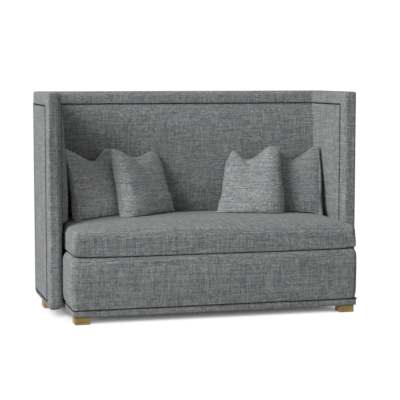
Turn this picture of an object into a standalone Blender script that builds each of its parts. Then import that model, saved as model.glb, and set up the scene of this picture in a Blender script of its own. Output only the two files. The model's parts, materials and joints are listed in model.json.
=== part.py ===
"""High-backed upholstered banquette with full-height wings, nailhead trim and loose cushions.

Metres, +Z up. The front faces -Y, and left and right are a viewer's, so left is -X.
The origin is on the floor, under the middle of the object's box.
"""
import math

import bpy
import bmesh
from mathutils import Matrix, Vector
from mathutils.bvhtree import BVHTree

# Clearance between pieces that touch
GAP = 0.0003

# Overall size
WIDTH = 1.83
HEIGHT = 1.268
BASE_REACH = 0.8674
BASE_FRONT_CROWN = 0.008

# Wings and back
WING_REACH = 0.609
WING_THICKNESS = 0.0733
WING_CORNER_THICKNESS = 0.0935
WING_FLOOR_GAP = 0.045
BACK_THICKNESS = 0.095
EDGE_RADIUS = 0.030
EDGE_STEPS = 5
TOP_PAD = 0.020
FRONT_PAD = 0.020
BOTTOM_PAD = 0.012
OUTSIDE_COVER = 0.008
OUTSIDE_COVER_RADIUS = 0.006

# Borders between the edges and the nail lines
TOP_BORDER = 0.0747
OUTER_FRONT_BORDER = 0.1145
INNER_FRONT_BORDER = 0.0863
OUTER_BOTTOM_BORDER = 0.030

# Crowns of the padded inside panels
WING_CROWNS = {"left": 0.058, "right": 0.026}
BACK_CROWN = 0.025
WING_CROWN_SQUARENESS = 4
BACK_CROWN_SQUARENESS = 12
BACK_RISE_SQUARENESS = 4
CROWN_FOOT_POWER = 0.35
CROWN_HEAD_POWER = 0.9
NAIL_MARGIN = 0.0075

# Seat base
BASE_INSET = 0.090
PLINTH_BOTTOM = 0.042
PLINTH_TOP = 0.0812
PLINTH_THICKNESS = 0.052
SEAM_HEIGHT = 0.3742
BASE_FRONT_PAD = 0.024
BASE_SIDE_PAD = 0.022
BASE_SIDE_CROWN = 0.014
BASE_CORNER_RADIUS = 0.028
BASE_TOP_ROLL = 0.014
BASE_RETURN = 0.060
BASE_TUCK = 0.016
BASE_CROWN_START = 0.04
BASE_CROWN_POWER = 2.5
BASE_ROLL_START = 0.86
BASE_ROLL_POWER = 2.2
BASE_ROW_SHARES = (0.0, 0.04, 0.09, 0.18, 0.32, 0.50, 0.68, 0.80, 0.88, 0.94, 0.98, 1.0)
BASE_CORNER_STEPS = 5
BASE_FRONT_STEPS = 8

# Wooden frame
FRAME_THICKNESS = 0.038
POST_WIDTH = 0.070
TOP_RAIL_HEIGHT = 0.070
SEAT_RAIL_HEIGHT = 0.065
SEAT_RAIL_BOTTOM = 0.400
BOTTOM_RAIL_HEIGHT = 0.090
STILE_WIDTH = 0.060
STILE_SHARE = 0.317
SEAT_FRAME_THICKNESS = 0.028
SEAT_FRAME_TOP = 0.330
CROSS_RAIL_HEIGHT = 0.080
CROSS_RAIL_SHARE = 0.339
CORNER_BLOCK_LEG = 0.085
CORNER_BLOCK_HEIGHT = 0.045
CORNER_BLOCK_BOTTOM = 0.170
BLOCK_SINK = 0.001
CLEAT_HEIGHT = 0.055

# Seat suspension
SPRING_COUNT = 9
SPRING_RUNS = 18
SPRING_HALF_WIDTH = 0.030
SPRING_ARCH = 0.018
WIRE_RADIUS = 0.0019
WIRE_SIDES = 4
TIE_RADIUS = 0.0015
TIE_OFFSET = 0.13
CLIP_WALL = 0.0012
CLIP_WIDTH = 0.018
CLIP_SINK = 0.001
CLIP_SETBACK = 0.006
DECK_STEPS = 16
DECK_LIP = 0.010

# Bench cushion
CUSHION_OVERHANG = 0.005
CUSHION_END_HEIGHT = 0.128
CUSHION_CROWN = 0.040
CUSHION_CROWN_POWER = 2.5
CUSHION_TOP_ROLL = 0.052
CUSHION_BOTTOM_ROLL = 0.016
CUSHION_SIDE_ROLL = 0.050
CUSHION_CLEARANCE = 0.003
CUSHION_CORE_STEPS = (10, 6, 1)
CUSHION_ROLL_STEPS = 4

# Share of each axis that a rounded form's flat core takes up
ROLL_CORE = 0.8

# Throw pillows
PILLOW_SHARE = 0.2186
PILLOW_HEIGHT = 0.432
PILLOW_THICKNESS = 0.128
PILLOW_DRAWN_IN = 0.025
PILLOW_EDGE = 0.004
PILLOW_FLAT = 0.010
PILLOW_FULLNESS = 0.46
PILLOW_FOOT_SQUARENESS = 6
PILLOW_PINCH_POWER = 1.3
PILLOW_CHOP_ROUND = 0.11
PILLOW_CHOP_POWER = 1.15
PILLOW_CREASE = 0.30
PILLOW_SOFT_START = 0.6
PILLOW_SOFT_POWER = 2.2
PILLOW_SOFT_DRAW = 0.45
PILLOW_CELLS = 14

# Feet
FOOT_SIZE = 0.0844
FOOT_INSET = 0.0104
FOOT_CHAMFER = 0.002
REAR_FOOT_SETBACK = 0.200
BOLT_RADIUS = 0.004
BOLT_SINK = 0.005
BOLT_REACH = 0.030
BOLT_SIDES = 12
DUST_COVER_THICKNESS = 0.0012
DUST_COVER_LAP = 0.010

# Nailhead trim
TRIM_WIDTH = 0.010
TRIM_HEIGHT = 0.003
TRIM_SHOULDER_WIDTH = 0.7
TRIM_SHOULDER_HEIGHT = 0.75

# Planes and lines that follow from the sizes above
REAR = (BASE_REACH + BASE_FRONT_CROWN) / 2
BASE_FRONT = REAR - BASE_REACH
FRONT_LIMIT = BASE_FRONT - BASE_FRONT_CROWN
WING_FRONT = REAR - WING_REACH
BACK_FACE = REAR - BACK_THICKNESS
HALF_WIDTH = WIDTH / 2
HALF_BASE = HALF_WIDTH - BASE_INSET
HALF_CUSHION = HALF_BASE + CUSHION_OVERHANG
FRAME_OUT = HALF_WIDTH - OUTSIDE_COVER
FRAME_IN = FRAME_OUT - FRAME_THICKNESS
FRAME_REAR = REAR - OUTSIDE_COVER
FRAME_FRONT = FRAME_REAR - FRAME_THICKNESS
FRAME_TOP = HEIGHT - TOP_PAD
FRAME_BOTTOM = WING_FLOOR_GAP + BOTTOM_PAD
WING_FACE_FRONT = HALF_WIDTH - WING_THICKNESS
WING_FACE_REAR = HALF_WIDTH - WING_CORNER_THICKNESS
NAIL_TOP = HEIGHT - TOP_BORDER
NAIL_BOTTOM = WING_FLOOR_GAP + OUTER_BOTTOM_BORDER
NAIL_OUT_FRONT = WING_FRONT + OUTER_FRONT_BORDER
NAIL_IN_FRONT = WING_FRONT + INNER_FRONT_BORDER
POST_FRONT = WING_FRONT + FRONT_PAD
POST_REAR = POST_FRONT + POST_WIDTH
SEAT_SIDE_OUT = HALF_BASE - BASE_SIDE_PAD
SEAT_SIDE_IN = SEAT_SIDE_OUT - SEAT_FRAME_THICKNESS
SEAT_RAIL_FRONT = BASE_FRONT + BASE_FRONT_PAD
SEAT_RAIL_INNER = SEAT_RAIL_FRONT + SEAT_FRAME_THICKNESS
SEAT_REAR_FRONT = BACK_FACE - SEAT_FRAME_THICKNESS
CUSHION_SHOULDER = SEAM_HEIGHT + CUSHION_END_HEIGHT
SPRING_FRONT = SEAT_RAIL_INNER - CLIP_SETBACK
SPRING_REAR = SEAT_REAR_FRONT + CLIP_SETBACK
SPRING_SPACING = 2 * SEAT_SIDE_IN / SPRING_COUNT
PILLOW_HALF_WIDTH = PILLOW_SHARE * HALF_WIDTH

SIDES = {"left": -1, "right": 1}

# Throw pillows from left to right. The lower edge's middle lies at a share of half the width
# from the centre, and at a share of the wings' reach in front of the back. Turn and lean are
# in degrees. The top edge is chopped at a place across, from -1 to 1: chop is its depth below
# the left and right corners, as shares of the pillow's height, and slopes are how far across it
# reaches to each side. pinch draws the top in at each side, soft rounds each top corner off, and
# fullest is where across the front stands out most.
PILLOWS = (
    {"across": -0.608, "out": 0.398, "turn": 25.6, "lean": 20.5, "chop_at": 0.17, "chop": (0.182, 0.182),
     "slopes": (1.05, 0.52), "pinch": (0.11, 0.11), "soft": (0.009, 0.032), "fullest": -0.20},
    {"across": -0.309, "out": 0.402, "turn": 26.6, "lean": 21.0, "chop_at": -0.02, "chop": (0.113, 0.113),
     "slopes": (0.90, 1.50), "pinch": (0.12, 0.06), "soft": (0.014, 0.079), "fullest": -0.60},
    {"across": 0.361, "out": 0.494, "turn": -13.7, "lean": 23.0, "chop_at": -0.05, "chop": (0.170, 0.170),
     "slopes": (0.84, 0.70), "pinch": (0.24, 0.11), "soft": (0.079, 0.019), "fullest": 0.45},
    {"across": 0.658, "out": 0.383, "turn": -18.7, "lean": 18.2, "chop_at": 0.00, "chop": (0.140, 0.198),
     "slopes": (0.36, 0.92), "pinch": (0.24, 0.15), "soft": (0.120, 0.014), "fullest": -0.25},
)


def clear_scene():
    """Remove every object that the file opened with."""
    for item in list(bpy.data.objects):
        bpy.data.objects.remove(item, do_unlink=True)


def make_material(name, colour, roughness, metallic=0.0):
    """Return a Principled material."""
    material = bpy.data.materials.new(name)
    material.use_nodes = True
    shader = material.node_tree.nodes["Principled BSDF"]
    shader.inputs["Base Color"].default_value = (*colour, 1.0)
    shader.inputs["Roughness"].default_value = roughness
    shader.inputs["Metallic"].default_value = metallic
    material.diffuse_color = (*colour, 1.0)
    return material


def make_materials():
    """Return the materials of the banquette by name."""
    return {
        "tweed": make_material("tweed", (0.19, 0.20, 0.21), 0.9),
        "nailhead": make_material("nailhead", (0.10, 0.09, 0.08), 0.35, 0.9),
        "foot_wood": make_material("foot_wood", (0.40, 0.24, 0.09), 0.45),
        "frame_wood": make_material("frame_wood", (0.55, 0.42, 0.27), 0.7),
        "steel": make_material("steel", (0.35, 0.35, 0.36), 0.35, 0.9),
        "deck_cloth": make_material("deck_cloth", (0.12, 0.12, 0.125), 0.95),
        "dust_cloth": make_material("dust_cloth", (0.03, 0.03, 0.03), 0.95),
    }


def add_object(name, vertices, faces, material, smooth_angle=None):
    """Add a closed mesh whose faces point out, shaded smooth below an angle in degrees."""
    mesh = bpy.data.meshes.new(name)
    mesh.from_pydata([tuple(point) for point in vertices], [], faces)
    work = bmesh.new()
    work.from_mesh(mesh)
    bmesh.ops.recalc_face_normals(work, faces=work.faces)
    work.to_mesh(mesh)
    work.free()
    mesh.materials.append(material)
    if smooth_angle is not None:
        mesh.shade_smooth()
        mesh.set_sharp_from_angle(angle=math.radians(smooth_angle))
    item = bpy.data.objects.new(name, mesh)
    bpy.context.scene.collection.objects.link(item)
    return item


def box_shape(low, high):
    """Return the corners and faces of a box."""
    corners = [(x, y, z) for z in (low[2], high[2]) for y in (low[1], high[1]) for x in (low[0], high[0])]
    faces = [(0, 2, 3, 1), (4, 5, 7, 6), (0, 1, 5, 4), (2, 6, 7, 3), (0, 4, 6, 2), (1, 3, 7, 5)]
    return corners, faces


def prism_shape(outline, axis, start, end):
    """Return an outline drawn across an axis and run along it from start to end."""
    count = len(outline)
    points = []
    for along in (start, end):
        for first, second in outline:
            point = [first, second]
            point.insert(axis, along)
            points.append(tuple(point))
    faces = [tuple(range(count)), tuple(range(2 * count - 1, count - 1, -1))]
    for index in range(count):
        following = (index + 1) % count
        faces.append((index, index + count, following + count, following))
    return points, faces


def cylinder_shape(centre, radius, bottom, top, sides):
    """Return an upright cylinder."""
    turns = [2 * math.pi * index / sides for index in range(sides)]
    outline = [(centre[0] + radius * math.cos(turn), centre[1] + radius * math.sin(turn)) for turn in turns]
    return prism_shape(outline, 2, bottom, top)


def join_shapes(shapes):
    """Put several shapes side by side in one list of points and faces."""
    points = []
    faces = []
    for shape_points, shape_faces in shapes:
        start = len(points)
        points.extend(shape_points)
        faces.extend(tuple(start + index for index in face) for face in shape_faces)
    return points, faces


def add_box(name, low, high, material):
    """Add a plain box."""
    return add_object(name, *box_shape(low, high), material)


def mirrored(low, high, side):
    """Return a box given on the right side, moved to the given side."""
    if side > 0:
        return low, high
    return (-high[0], low[1], low[2]), (-low[0], high[1], high[2])


def add_side_box(name, side, low, high, material):
    """Add a box given on the right side to the given side."""
    return add_box(name, *mirrored(low, high, side), material)


def round_edges(item, radius, segments, chosen=None):
    """Round the chosen edges of an object, or all of them."""
    work = bmesh.new()
    work.from_mesh(item.data)
    edges = [edge for edge in work.edges if chosen is None or chosen(edge)]
    bmesh.ops.bevel(work, geom=edges, offset=radius, segments=segments, profile=0.5, affect="EDGES")
    work.to_mesh(item.data)
    work.free()
    item.data.shade_smooth()
    item.data.set_sharp_from_angle(angle=math.radians(40))


def combine(item, tool, operation):
    """Cut an object with a tool, join them, or keep only their common part, and remove the tool."""
    modifier = item.modifiers.new(operation.lower(), "BOOLEAN")
    modifier.operation = operation
    modifier.solver = "EXACT"
    modifier.object = tool
    view = bpy.context.evaluated_depsgraph_get()
    result = bpy.data.meshes.new_from_object(item.evaluated_get(view))
    item.modifiers.clear()
    item.data = result
    bpy.data.objects.remove(tool, do_unlink=True)


def cut_with(item, shape, operation="DIFFERENCE"):
    """Cut an object with a shape, or keep the part inside it."""
    tool = add_object("tool", *shape, item.data.materials[0])
    combine(item, tool, operation)


def fuse_with(item, shapes):
    """Make shapes that reach into an object part of it."""
    tool = add_object("tool", *join_shapes(shapes), item.data.materials[0])
    combine(item, tool, "UNION")


def wing_face(y):
    """Half the room between the wings at a depth, before the crown of their padding."""
    share = min(max((y - WING_FRONT) / (BACK_FACE - WING_FRONT), 0.0), 1.0)
    return WING_FACE_FRONT + share * (WING_FACE_REAR - WING_FACE_FRONT)


def squared_crown(share, squareness):
    """Crown across a panel, from 0 at both edges to 1 along most of its middle."""
    return 1.0 - abs(2.0 * share - 1.0) ** squareness


def sagging_crown(share):
    """Crown up a panel that is fullest low down and eases towards its top."""
    peak_at = CROWN_FOOT_POWER / (CROWN_FOOT_POWER + CROWN_HEAD_POWER)
    peak = peak_at ** CROWN_FOOT_POWER * (1.0 - peak_at) ** CROWN_HEAD_POWER
    return share ** CROWN_FOOT_POWER * (1.0 - share) ** CROWN_HEAD_POWER / peak


def within(value, low, high):
    """Share of the way from low to high, held between 0 and 1."""
    return min(max((value - low) / (high - low), 0.0), 1.0)


def eased_steps(count):
    """Steps from 0 to 1 that are closer together near both ends."""
    return [(1.0 - math.cos(math.pi * index / count)) / 2 for index in range(count + 1)]


def add_padded_panel(name, grid, backing, material):
    """Add a panel from a grid of front points, closed by a flat back.

    backing moves a point of the grid's rim straight back to the plane of the frame.
    """
    rows = len(grid)
    columns = len(grid[0])
    points = [point for row in grid for point in row]
    faces = []
    for row in range(rows - 1):
        for column in range(columns - 1):
            corner = row * columns + column
            faces.append((corner, corner + 1, corner + columns + 1, corner + columns))
    rim = list(range(columns))
    rim += [row * columns + columns - 1 for row in range(1, rows)]
    rim += [(rows - 1) * columns + column for column in range(columns - 2, -1, -1)]
    rim += [row * columns for row in range(rows - 2, 0, -1)]
    first_back = len(points)
    points.extend(backing(points[index]) for index in rim)
    for place in range(len(rim)):
        following = (place + 1) % len(rim)
        faces.append((rim[place], first_back + place, first_back + following, rim[following]))
    faces.append(tuple(range(first_back, first_back + len(rim))))
    return add_object(name, points, faces, material, 50)


def panel_heights(steps):
    """Heights of the rows of an inside panel, from the deck to under the top nail line."""
    bottom = SEAM_HEIGHT + GAP
    crown_top = NAIL_TOP - NAIL_MARGIN
    crowned = [CUSHION_SHOULDER + share * (crown_top - CUSHION_SHOULDER) for share in eased_steps(steps)]
    return [bottom] + crowned + [NAIL_TOP - GAP / 2]


def add_inside_back(material):
    """Add the crowned panel between the wings."""
    half = WING_FACE_REAR - GAP
    grid = []
    for z in panel_heights(12):
        share = within(z, CUSHION_SHOULDER, NAIL_TOP - NAIL_MARGIN)
        rise = squared_crown(share, BACK_RISE_SQUARENESS)
        row = []
        for share in eased_steps(16):
            x = -half + 2 * half * share
            y = BACK_FACE - BACK_CROWN * rise * squared_crown(share, BACK_CROWN_SQUARENESS)
            row.append((x, y, z))
        grid.append(row)
    add_padded_panel("inside_back_panel", grid, lambda p: (p[0], FRAME_FRONT - GAP, p[2]), material)


def add_inside_wing(name, side, fullness, material):
    """Add the crowned panel on the inner face of a wing."""
    start = NAIL_IN_FRONT + GAP / 2
    crown_start = start + NAIL_MARGIN
    end = FRAME_FRONT - GAP
    depths = [start]
    depths += [crown_start + share * (BACK_FACE - crown_start) for share in eased_steps(12)]
    depths.append(end)
    grid = []
    for z in panel_heights(14):
        rise = sagging_crown(within(z, CUSHION_SHOULDER, NAIL_TOP - NAIL_MARGIN))
        row = []
        for y in depths:
            across = squared_crown(within(y, crown_start, BACK_FACE), WING_CROWN_SQUARENESS)
            row.append((side * (wing_face(y) - fullness * rise * across), y, z))
        grid.append(row)
    add_padded_panel(name, grid, lambda p: (side * (FRAME_IN - GAP), p[1], p[2]), material)


def wing_envelope(side, material):
    """Return the rounded outer form of a wing, run past the back for cutting to length."""
    past = REAR + 3 * EDGE_RADIUS
    outline = [
        (side * HALF_WIDTH, WING_FRONT),
        (side * HALF_WIDTH, past),
        (side * WING_FACE_REAR, past),
        (side * WING_FACE_REAR, BACK_FACE),
        (side * WING_FACE_FRONT, WING_FRONT),
    ]
    shape = prism_shape(outline, 2, WING_FLOOR_GAP, HEIGHT)
    item = add_object("wing_form", *shape, material)
    inner_corner = Vector((side * WING_FACE_REAR, BACK_FACE))

    def is_outer(edge):
        middle = (edge.verts[0].co + edge.verts[1].co) / 2
        upright = abs(edge.verts[0].co.z - edge.verts[1].co.z) > EDGE_RADIUS
        return not (upright and (middle.xy - inner_corner).length < EDGE_RADIUS)

    round_edges(item, EDGE_RADIUS, EDGE_STEPS, is_outer)
    return item


def border_split(side, clearance):
    """Return the stepped line between the front border and what lies behind it, outside first."""
    middle = (FRAME_IN + FRAME_OUT) / 2
    return [
        (side * (HALF_WIDTH + 1), NAIL_OUT_FRONT + clearance),
        (side * middle, NAIL_OUT_FRONT + clearance),
        (side * middle, NAIL_IN_FRONT + clearance),
        (side * (FRAME_IN - 1), NAIL_IN_FRONT + clearance),
    ]


def mitre_line(side, clearance):
    """Return the mitre between a wing's top border and the back's, from inside to the rear."""
    shift = side * clearance
    return [
        (side * WING_FACE_REAR + shift, BACK_FACE),
        (side * FRAME_IN + shift, FRAME_FRONT),
        (side * FRAME_OUT + shift, FRAME_REAR),
    ]


def frame_core(side, bottom, top):
    """Return the space that a wing's frame takes up, run past it along the wing."""
    low = (FRAME_IN - GAP, POST_FRONT - GAP, bottom)
    high = (FRAME_OUT + GAP, REAR + 1, top)
    return box_shape(*mirrored(low, high, side))


def add_front_border(name, side, material):
    """Add the padded strip that wraps a wing's front edge between its two nail lines."""
    item = wing_envelope(side, material)
    item.name = name
    front = [(side * (FRAME_IN - 1), WING_FRONT - 1), (side * (HALF_WIDTH + 1), WING_FRONT - 1)]
    region = prism_shape(border_split(side, 0.0) + front, 2, 0.0, HEIGHT + 1)
    cut_with(item, region, "INTERSECT")
    cut_with(item, frame_core(side, FRAME_BOTTOM - GAP, FRAME_TOP + GAP))
    return item


def add_top_border(name, side, material):
    """Add the padded strip over a wing's top edge, mitred to the back's."""
    item = wing_envelope(side, material)
    item.name = name
    split = border_split(side, GAP)
    mitre = mitre_line(side, GAP)
    rear = FRAME_REAR - GAP
    inner = [(side * WING_FACE_REAR + side * GAP - side, BACK_FACE)]
    outer = [(side * FRAME_OUT + side * GAP, rear), (side * (HALF_WIDTH + 1), rear)]
    outline = split + inner + mitre[:2] + outer
    cut_with(item, prism_shape(outline, 2, NAIL_TOP + GAP / 2, HEIGHT + 1), "INTERSECT")
    cut_with(item, frame_core(side, 0.0, FRAME_TOP + GAP))
    return item


def add_bottom_border(name, side, material):
    """Add the strip that wraps a wing's bottom edge, drilled for the foot's bolt."""
    item = wing_envelope(side, material)
    item.name = name
    rear = FRAME_REAR - GAP
    outline = border_split(side, GAP)
    outline += [(side * (FRAME_IN - 1), FRAME_FRONT - GAP), (side * FRAME_IN, FRAME_FRONT - GAP)]
    outline += [(side * FRAME_IN, rear), (side * (HALF_WIDTH + 1), rear)]
    cut_with(item, prism_shape(outline, 2, 0.0, NAIL_BOTTOM - GAP / 2), "INTERSECT")
    cut_with(item, frame_core(side, FRAME_BOTTOM - GAP, HEIGHT + 1))
    drill(item, rear_bolt(side), 0.0, FRAME_BOTTOM + POST_WIDTH)
    return item


def add_back_border(material):
    """Add the padded strip over the back's top edge, mitred at both ends."""
    turns = [math.pi / 2 * index / EDGE_STEPS for index in range(EDGE_STEPS + 1)]
    centre = (BACK_FACE + EDGE_RADIUS, HEIGHT - EDGE_RADIUS)
    arc = [
        (centre[0] - EDGE_RADIUS * math.cos(turn), centre[1] + EDGE_RADIUS * math.sin(turn))
        for turn in turns
    ]
    rear = FRAME_REAR - GAP
    profile = [(BACK_FACE, NAIL_TOP + GAP / 2)] + arc
    profile += [(rear, HEIGHT), (rear, FRAME_TOP + GAP)]
    profile += [(FRAME_FRONT - GAP, FRAME_TOP + GAP), (FRAME_FRONT - GAP, NAIL_TOP + GAP / 2)]
    item = add_object("back_top_border", *prism_shape(profile, 0, -HALF_WIDTH, HALF_WIDTH), material)
    ends = [mitre_line(-1, 0.0), mitre_line(1, 0.0)]
    region = [(x, y) for x, y in reversed(ends[0])] + ends[1]
    region.append((ends[1][-1][0], REAR))
    region.insert(0, (ends[0][-1][0], REAR))
    cut_with(item, prism_shape(region, 2, 0.0, HEIGHT + 1), "INTERSECT")
    item.data.shade_smooth()
    item.data.set_sharp_from_angle(angle=math.radians(40))


def rounded_outline(half, bottom, top, radius, steps):
    """Return an upright rectangle with round corners, as points across the object."""
    outline = []
    corners = (
        (half - radius, top - radius, 0.0),
        (-half + radius, top - radius, math.pi / 2),
        (-half + radius, bottom + radius, math.pi),
        (half - radius, bottom + radius, 3 * math.pi / 2),
    )
    for x, z, start in corners:
        for index in range(steps + 1):
            turn = start + math.pi / 2 * index / steps
            outline.append((x + radius * math.cos(turn), z + radius * math.sin(turn)))
    return outline


def add_outside_back(material):
    """Add the cover over the whole rear, with round corners and a soft rear edge."""
    outline = rounded_outline(HALF_WIDTH, WING_FLOOR_GAP, HEIGHT, EDGE_RADIUS, 4)
    item = add_object("outside_back_panel", *prism_shape(outline, 1, FRAME_REAR, REAR), material)

    def at_rear(edge):
        return all(vertex.co.y > REAR - GAP for vertex in edge.verts)

    round_edges(item, OUTSIDE_COVER_RADIUS, 3, at_rear)


def add_outside_wing(name, side, material):
    """Add the flat cover inside the outer nail lines of a wing."""
    low = (FRAME_OUT + GAP, NAIL_OUT_FRONT + GAP, NAIL_BOTTOM + GAP / 2)
    high = (HALF_WIDTH, FRAME_REAR - GAP, NAIL_TOP - GAP / 2)
    add_side_box(name, side, low, high, material)


def base_profile(share):
    """Return how far the base's padding stands out, as shares of its crown and of its top roll."""
    crown = 1.0 - abs(2.0 * within(share, BASE_CROWN_START, 1.0) - 1.0) ** BASE_CROWN_POWER
    roll = within(share, BASE_ROLL_START, 1.0) ** BASE_ROLL_POWER
    return crown, roll


def base_heights():
    """Heights of the rows of the base's padded panels, as shares and in metres."""
    bottom = PLINTH_TOP + GAP / 2
    top = SEAM_HEIGHT - GAP / 2
    return [(share, bottom + share * (top - bottom)) for share in BASE_ROW_SHARES]


def add_ring_solid(name, rings, material):
    """Add a solid from closed rings of points, stacked from bottom to top."""
    count = len(rings[0])
    points = [point for ring in rings for point in ring]
    faces = [tuple(range(count)), tuple(range(len(points) - 1, len(points) - count - 1, -1))]
    for level in range(len(rings) - 1):
        for index in range(count):
            following = (index + 1) % count
            low = level * count
            high = low + count
            faces.append((low + index, low + following, high + following, high + index))
    return add_object(name, points, faces, material, 50)


def add_base_front(material):
    """Add the padded front of the base, which returns round both corners."""
    rings = []
    for share, z in base_heights():
        crown, roll = base_profile(share)
        front = BASE_FRONT - BASE_FRONT_CROWN * crown + BASE_TOP_ROLL * roll
        half = HALF_BASE + BASE_SIDE_CROWN * crown - BASE_TOP_ROLL * roll
        back = SEAT_RAIL_FRONT + BASE_RETURN
        radius = BASE_CORNER_RADIUS
        outer = [(-half, back), (-half, (back + front + radius) / 2)]
        for index in range(BASE_CORNER_STEPS + 1):
            turn = math.pi + math.pi / 2 * index / BASE_CORNER_STEPS
            reach = (radius * math.cos(turn), radius * math.sin(turn))
            outer.append((-half + radius + reach[0], front + radius + reach[1]))
        flat = half - radius
        corner = list(outer)
        steps = BASE_FRONT_STEPS
        outer += [(-flat + 2 * flat * index / steps, front) for index in range(1, steps)]
        outer += [(-x, y) for x, y in reversed(corner)]
        inner_half = SEAT_SIDE_OUT + GAP
        inner_front = SEAT_RAIL_FRONT - GAP
        inner = [(inner_half, back), (inner_half, inner_front)]
        inner += [(-x, y) for x, y in reversed(inner)]
        rings.append([(x, y, z) for x, y in outer + inner])
    add_ring_solid("base_front_panel", rings, material)


def add_base_side(name, side, material):
    """Add the padded side of the base between its front and the wing."""
    start = SEAT_RAIL_FRONT + BASE_RETURN + GAP
    end = WING_FRONT + BASE_TUCK
    rings = []
    for share, z in base_heights():
        crown, roll = base_profile(share)
        half = HALF_BASE + BASE_SIDE_CROWN * crown - BASE_TOP_ROLL * roll
        inner = SEAT_SIDE_OUT + GAP
        middle = (start + end) / 2
        ring = [(inner, start), (half, start), (half, middle), (half, end), (inner, end)]
        rings.append([(side * x, y, z) for x, y in ring])
    add_ring_solid(name, rings, material)


def add_plinth(material):
    """Add the covered rails of the plinth, the front one drilled for the feet."""
    inner = BASE_FRONT + PLINTH_THICKNESS
    top = PLINTH_TOP - GAP / 2
    low = (-HALF_BASE, BASE_FRONT, PLINTH_BOTTOM)
    front = add_box("plinth_front", low, (HALF_BASE, inner, top), material)
    for name, side in SIDES.items():
        drill(front, front_bolt(side), PLINTH_BOTTOM - 1, PLINTH_BOTTOM + BOLT_REACH + GAP)
        low = (HALF_BASE - PLINTH_THICKNESS, inner + GAP, PLINTH_BOTTOM)
        high = (HALF_BASE, rear_foot_middle() - FOOT_SIZE / 2 - GAP, top)
        add_side_box("plinth_" + name, side, low, high, material)


def corner_block_shape(side, y, forward):
    """Return a block that ties a front or rear rail to a side rail."""
    x = SEAT_SIDE_IN - GAP
    leg = CORNER_BLOCK_LEG
    outline = [(side * x, y), (side * (x - leg), y), (side * x, y + forward * leg)]
    return prism_shape(outline, 2, CORNER_BLOCK_BOTTOM, CORNER_BLOCK_BOTTOM + CORNER_BLOCK_HEIGHT)


def add_seat_ends(wood):
    """Add the front and rear rails of the seat, each with its two corner blocks and its clips."""
    bottom = PLINTH_TOP + GAP / 2
    front = add_box("seat_front_rail", (-SEAT_SIDE_OUT, SEAT_RAIL_FRONT, bottom),
                    (SEAT_SIDE_OUT, SEAT_RAIL_INNER, SEAT_FRAME_TOP), wood)
    rear = add_box("seat_rear_rail", (-SEAT_SIDE_IN + GAP, SEAT_REAR_FRONT, PLINTH_BOTTOM),
                   (SEAT_SIDE_IN - GAP, BACK_FACE, SEAT_FRAME_TOP), wood)
    for side in SIDES.values():
        fuse_with(front, [corner_block_shape(side, SEAT_RAIL_INNER - BLOCK_SINK, 1)])
        fuse_with(rear, [corner_block_shape(side, SEAT_REAR_FRONT + BLOCK_SINK, -1)])
    fuse_with(front, [clip_shape(x, SPRING_FRONT, 1) for x in spring_middles()])
    fuse_with(rear, [clip_shape(x, SPRING_REAR, -1) for x in spring_middles()])


def add_seat_sides(wood):
    """Add the side rails and the two cross rails of the seat."""
    bottom = PLINTH_TOP + GAP / 2
    front = SEAT_RAIL_INNER + GAP
    half = SEAT_FRAME_THICKNESS / 2
    for name, side in SIDES.items():
        add_side_box("seat_side_rail_" + name, side, (SEAT_SIDE_IN, front, bottom),
                     (SEAT_SIDE_OUT, FRAME_FRONT - GAP, SEAT_FRAME_TOP), wood)
        x = CROSS_RAIL_SHARE * HALF_BASE
        add_side_box("seat_cross_rail_" + name, side, (x - half, front, bottom),
                     (x + half, SEAT_REAR_FRONT - GAP, bottom + CROSS_RAIL_HEIGHT), wood)


def add_back_frame(material):
    """Add the posts, rails and stiles behind the inside back panel."""
    for name, side in SIDES.items():
        add_side_box("back_post_" + name, side, (FRAME_IN, FRAME_REAR - POST_WIDTH, FRAME_BOTTOM),
                     (FRAME_OUT, FRAME_REAR - GAP, FRAME_TOP), material)
    reach = FRAME_IN - GAP
    rails = {
        "back_top_rail": (FRAME_TOP - TOP_RAIL_HEIGHT, FRAME_TOP),
        "back_seat_rail": (SEAT_RAIL_BOTTOM, SEAT_RAIL_BOTTOM + SEAT_RAIL_HEIGHT),
        "back_bottom_rail": (FRAME_BOTTOM, FRAME_BOTTOM + BOTTOM_RAIL_HEIGHT),
    }
    for name, (low, high) in rails.items():
        add_box(name, (-reach, FRAME_FRONT, low), (reach, FRAME_REAR - GAP, high), material)
    bottom = SEAT_RAIL_BOTTOM + SEAT_RAIL_HEIGHT + GAP
    top = FRAME_TOP - TOP_RAIL_HEIGHT - GAP
    x = STILE_SHARE * HALF_WIDTH
    half = STILE_WIDTH / 2
    for name, side in SIDES.items():
        add_side_box("back_stile_" + name, side, (x - half, FRAME_FRONT, bottom),
                     (x + half, FRAME_REAR - GAP, top), material)


def add_wing_frame(name, side, material):
    """Add the front post and the three rails of a wing."""
    low = (FRAME_IN, POST_FRONT, FRAME_BOTTOM)
    add_side_box("wing_front_post_" + name, side, low, (FRAME_OUT, POST_REAR, FRAME_TOP), material)
    front = POST_REAR + GAP
    rear = FRAME_REAR - POST_WIDTH - GAP
    rails = {
        "wing_top_rail_": (FRAME_TOP - TOP_RAIL_HEIGHT, FRAME_TOP),
        "wing_seat_rail_": (SEAT_RAIL_BOTTOM, SEAT_RAIL_BOTTOM + SEAT_RAIL_HEIGHT),
        "wing_bottom_rail_": (FRAME_BOTTOM, FRAME_BOTTOM + BOTTOM_RAIL_HEIGHT),
    }
    for prefix, (bottom, top) in rails.items():
        low = (FRAME_IN, front, bottom)
        rail = add_side_box(prefix + name, side, low, (FRAME_OUT, rear, top), material)
        if prefix == "wing_bottom_rail_":
            drill(rail, rear_bolt(side), 0.0, FRAME_BOTTOM + BOLT_REACH + GAP)


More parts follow.
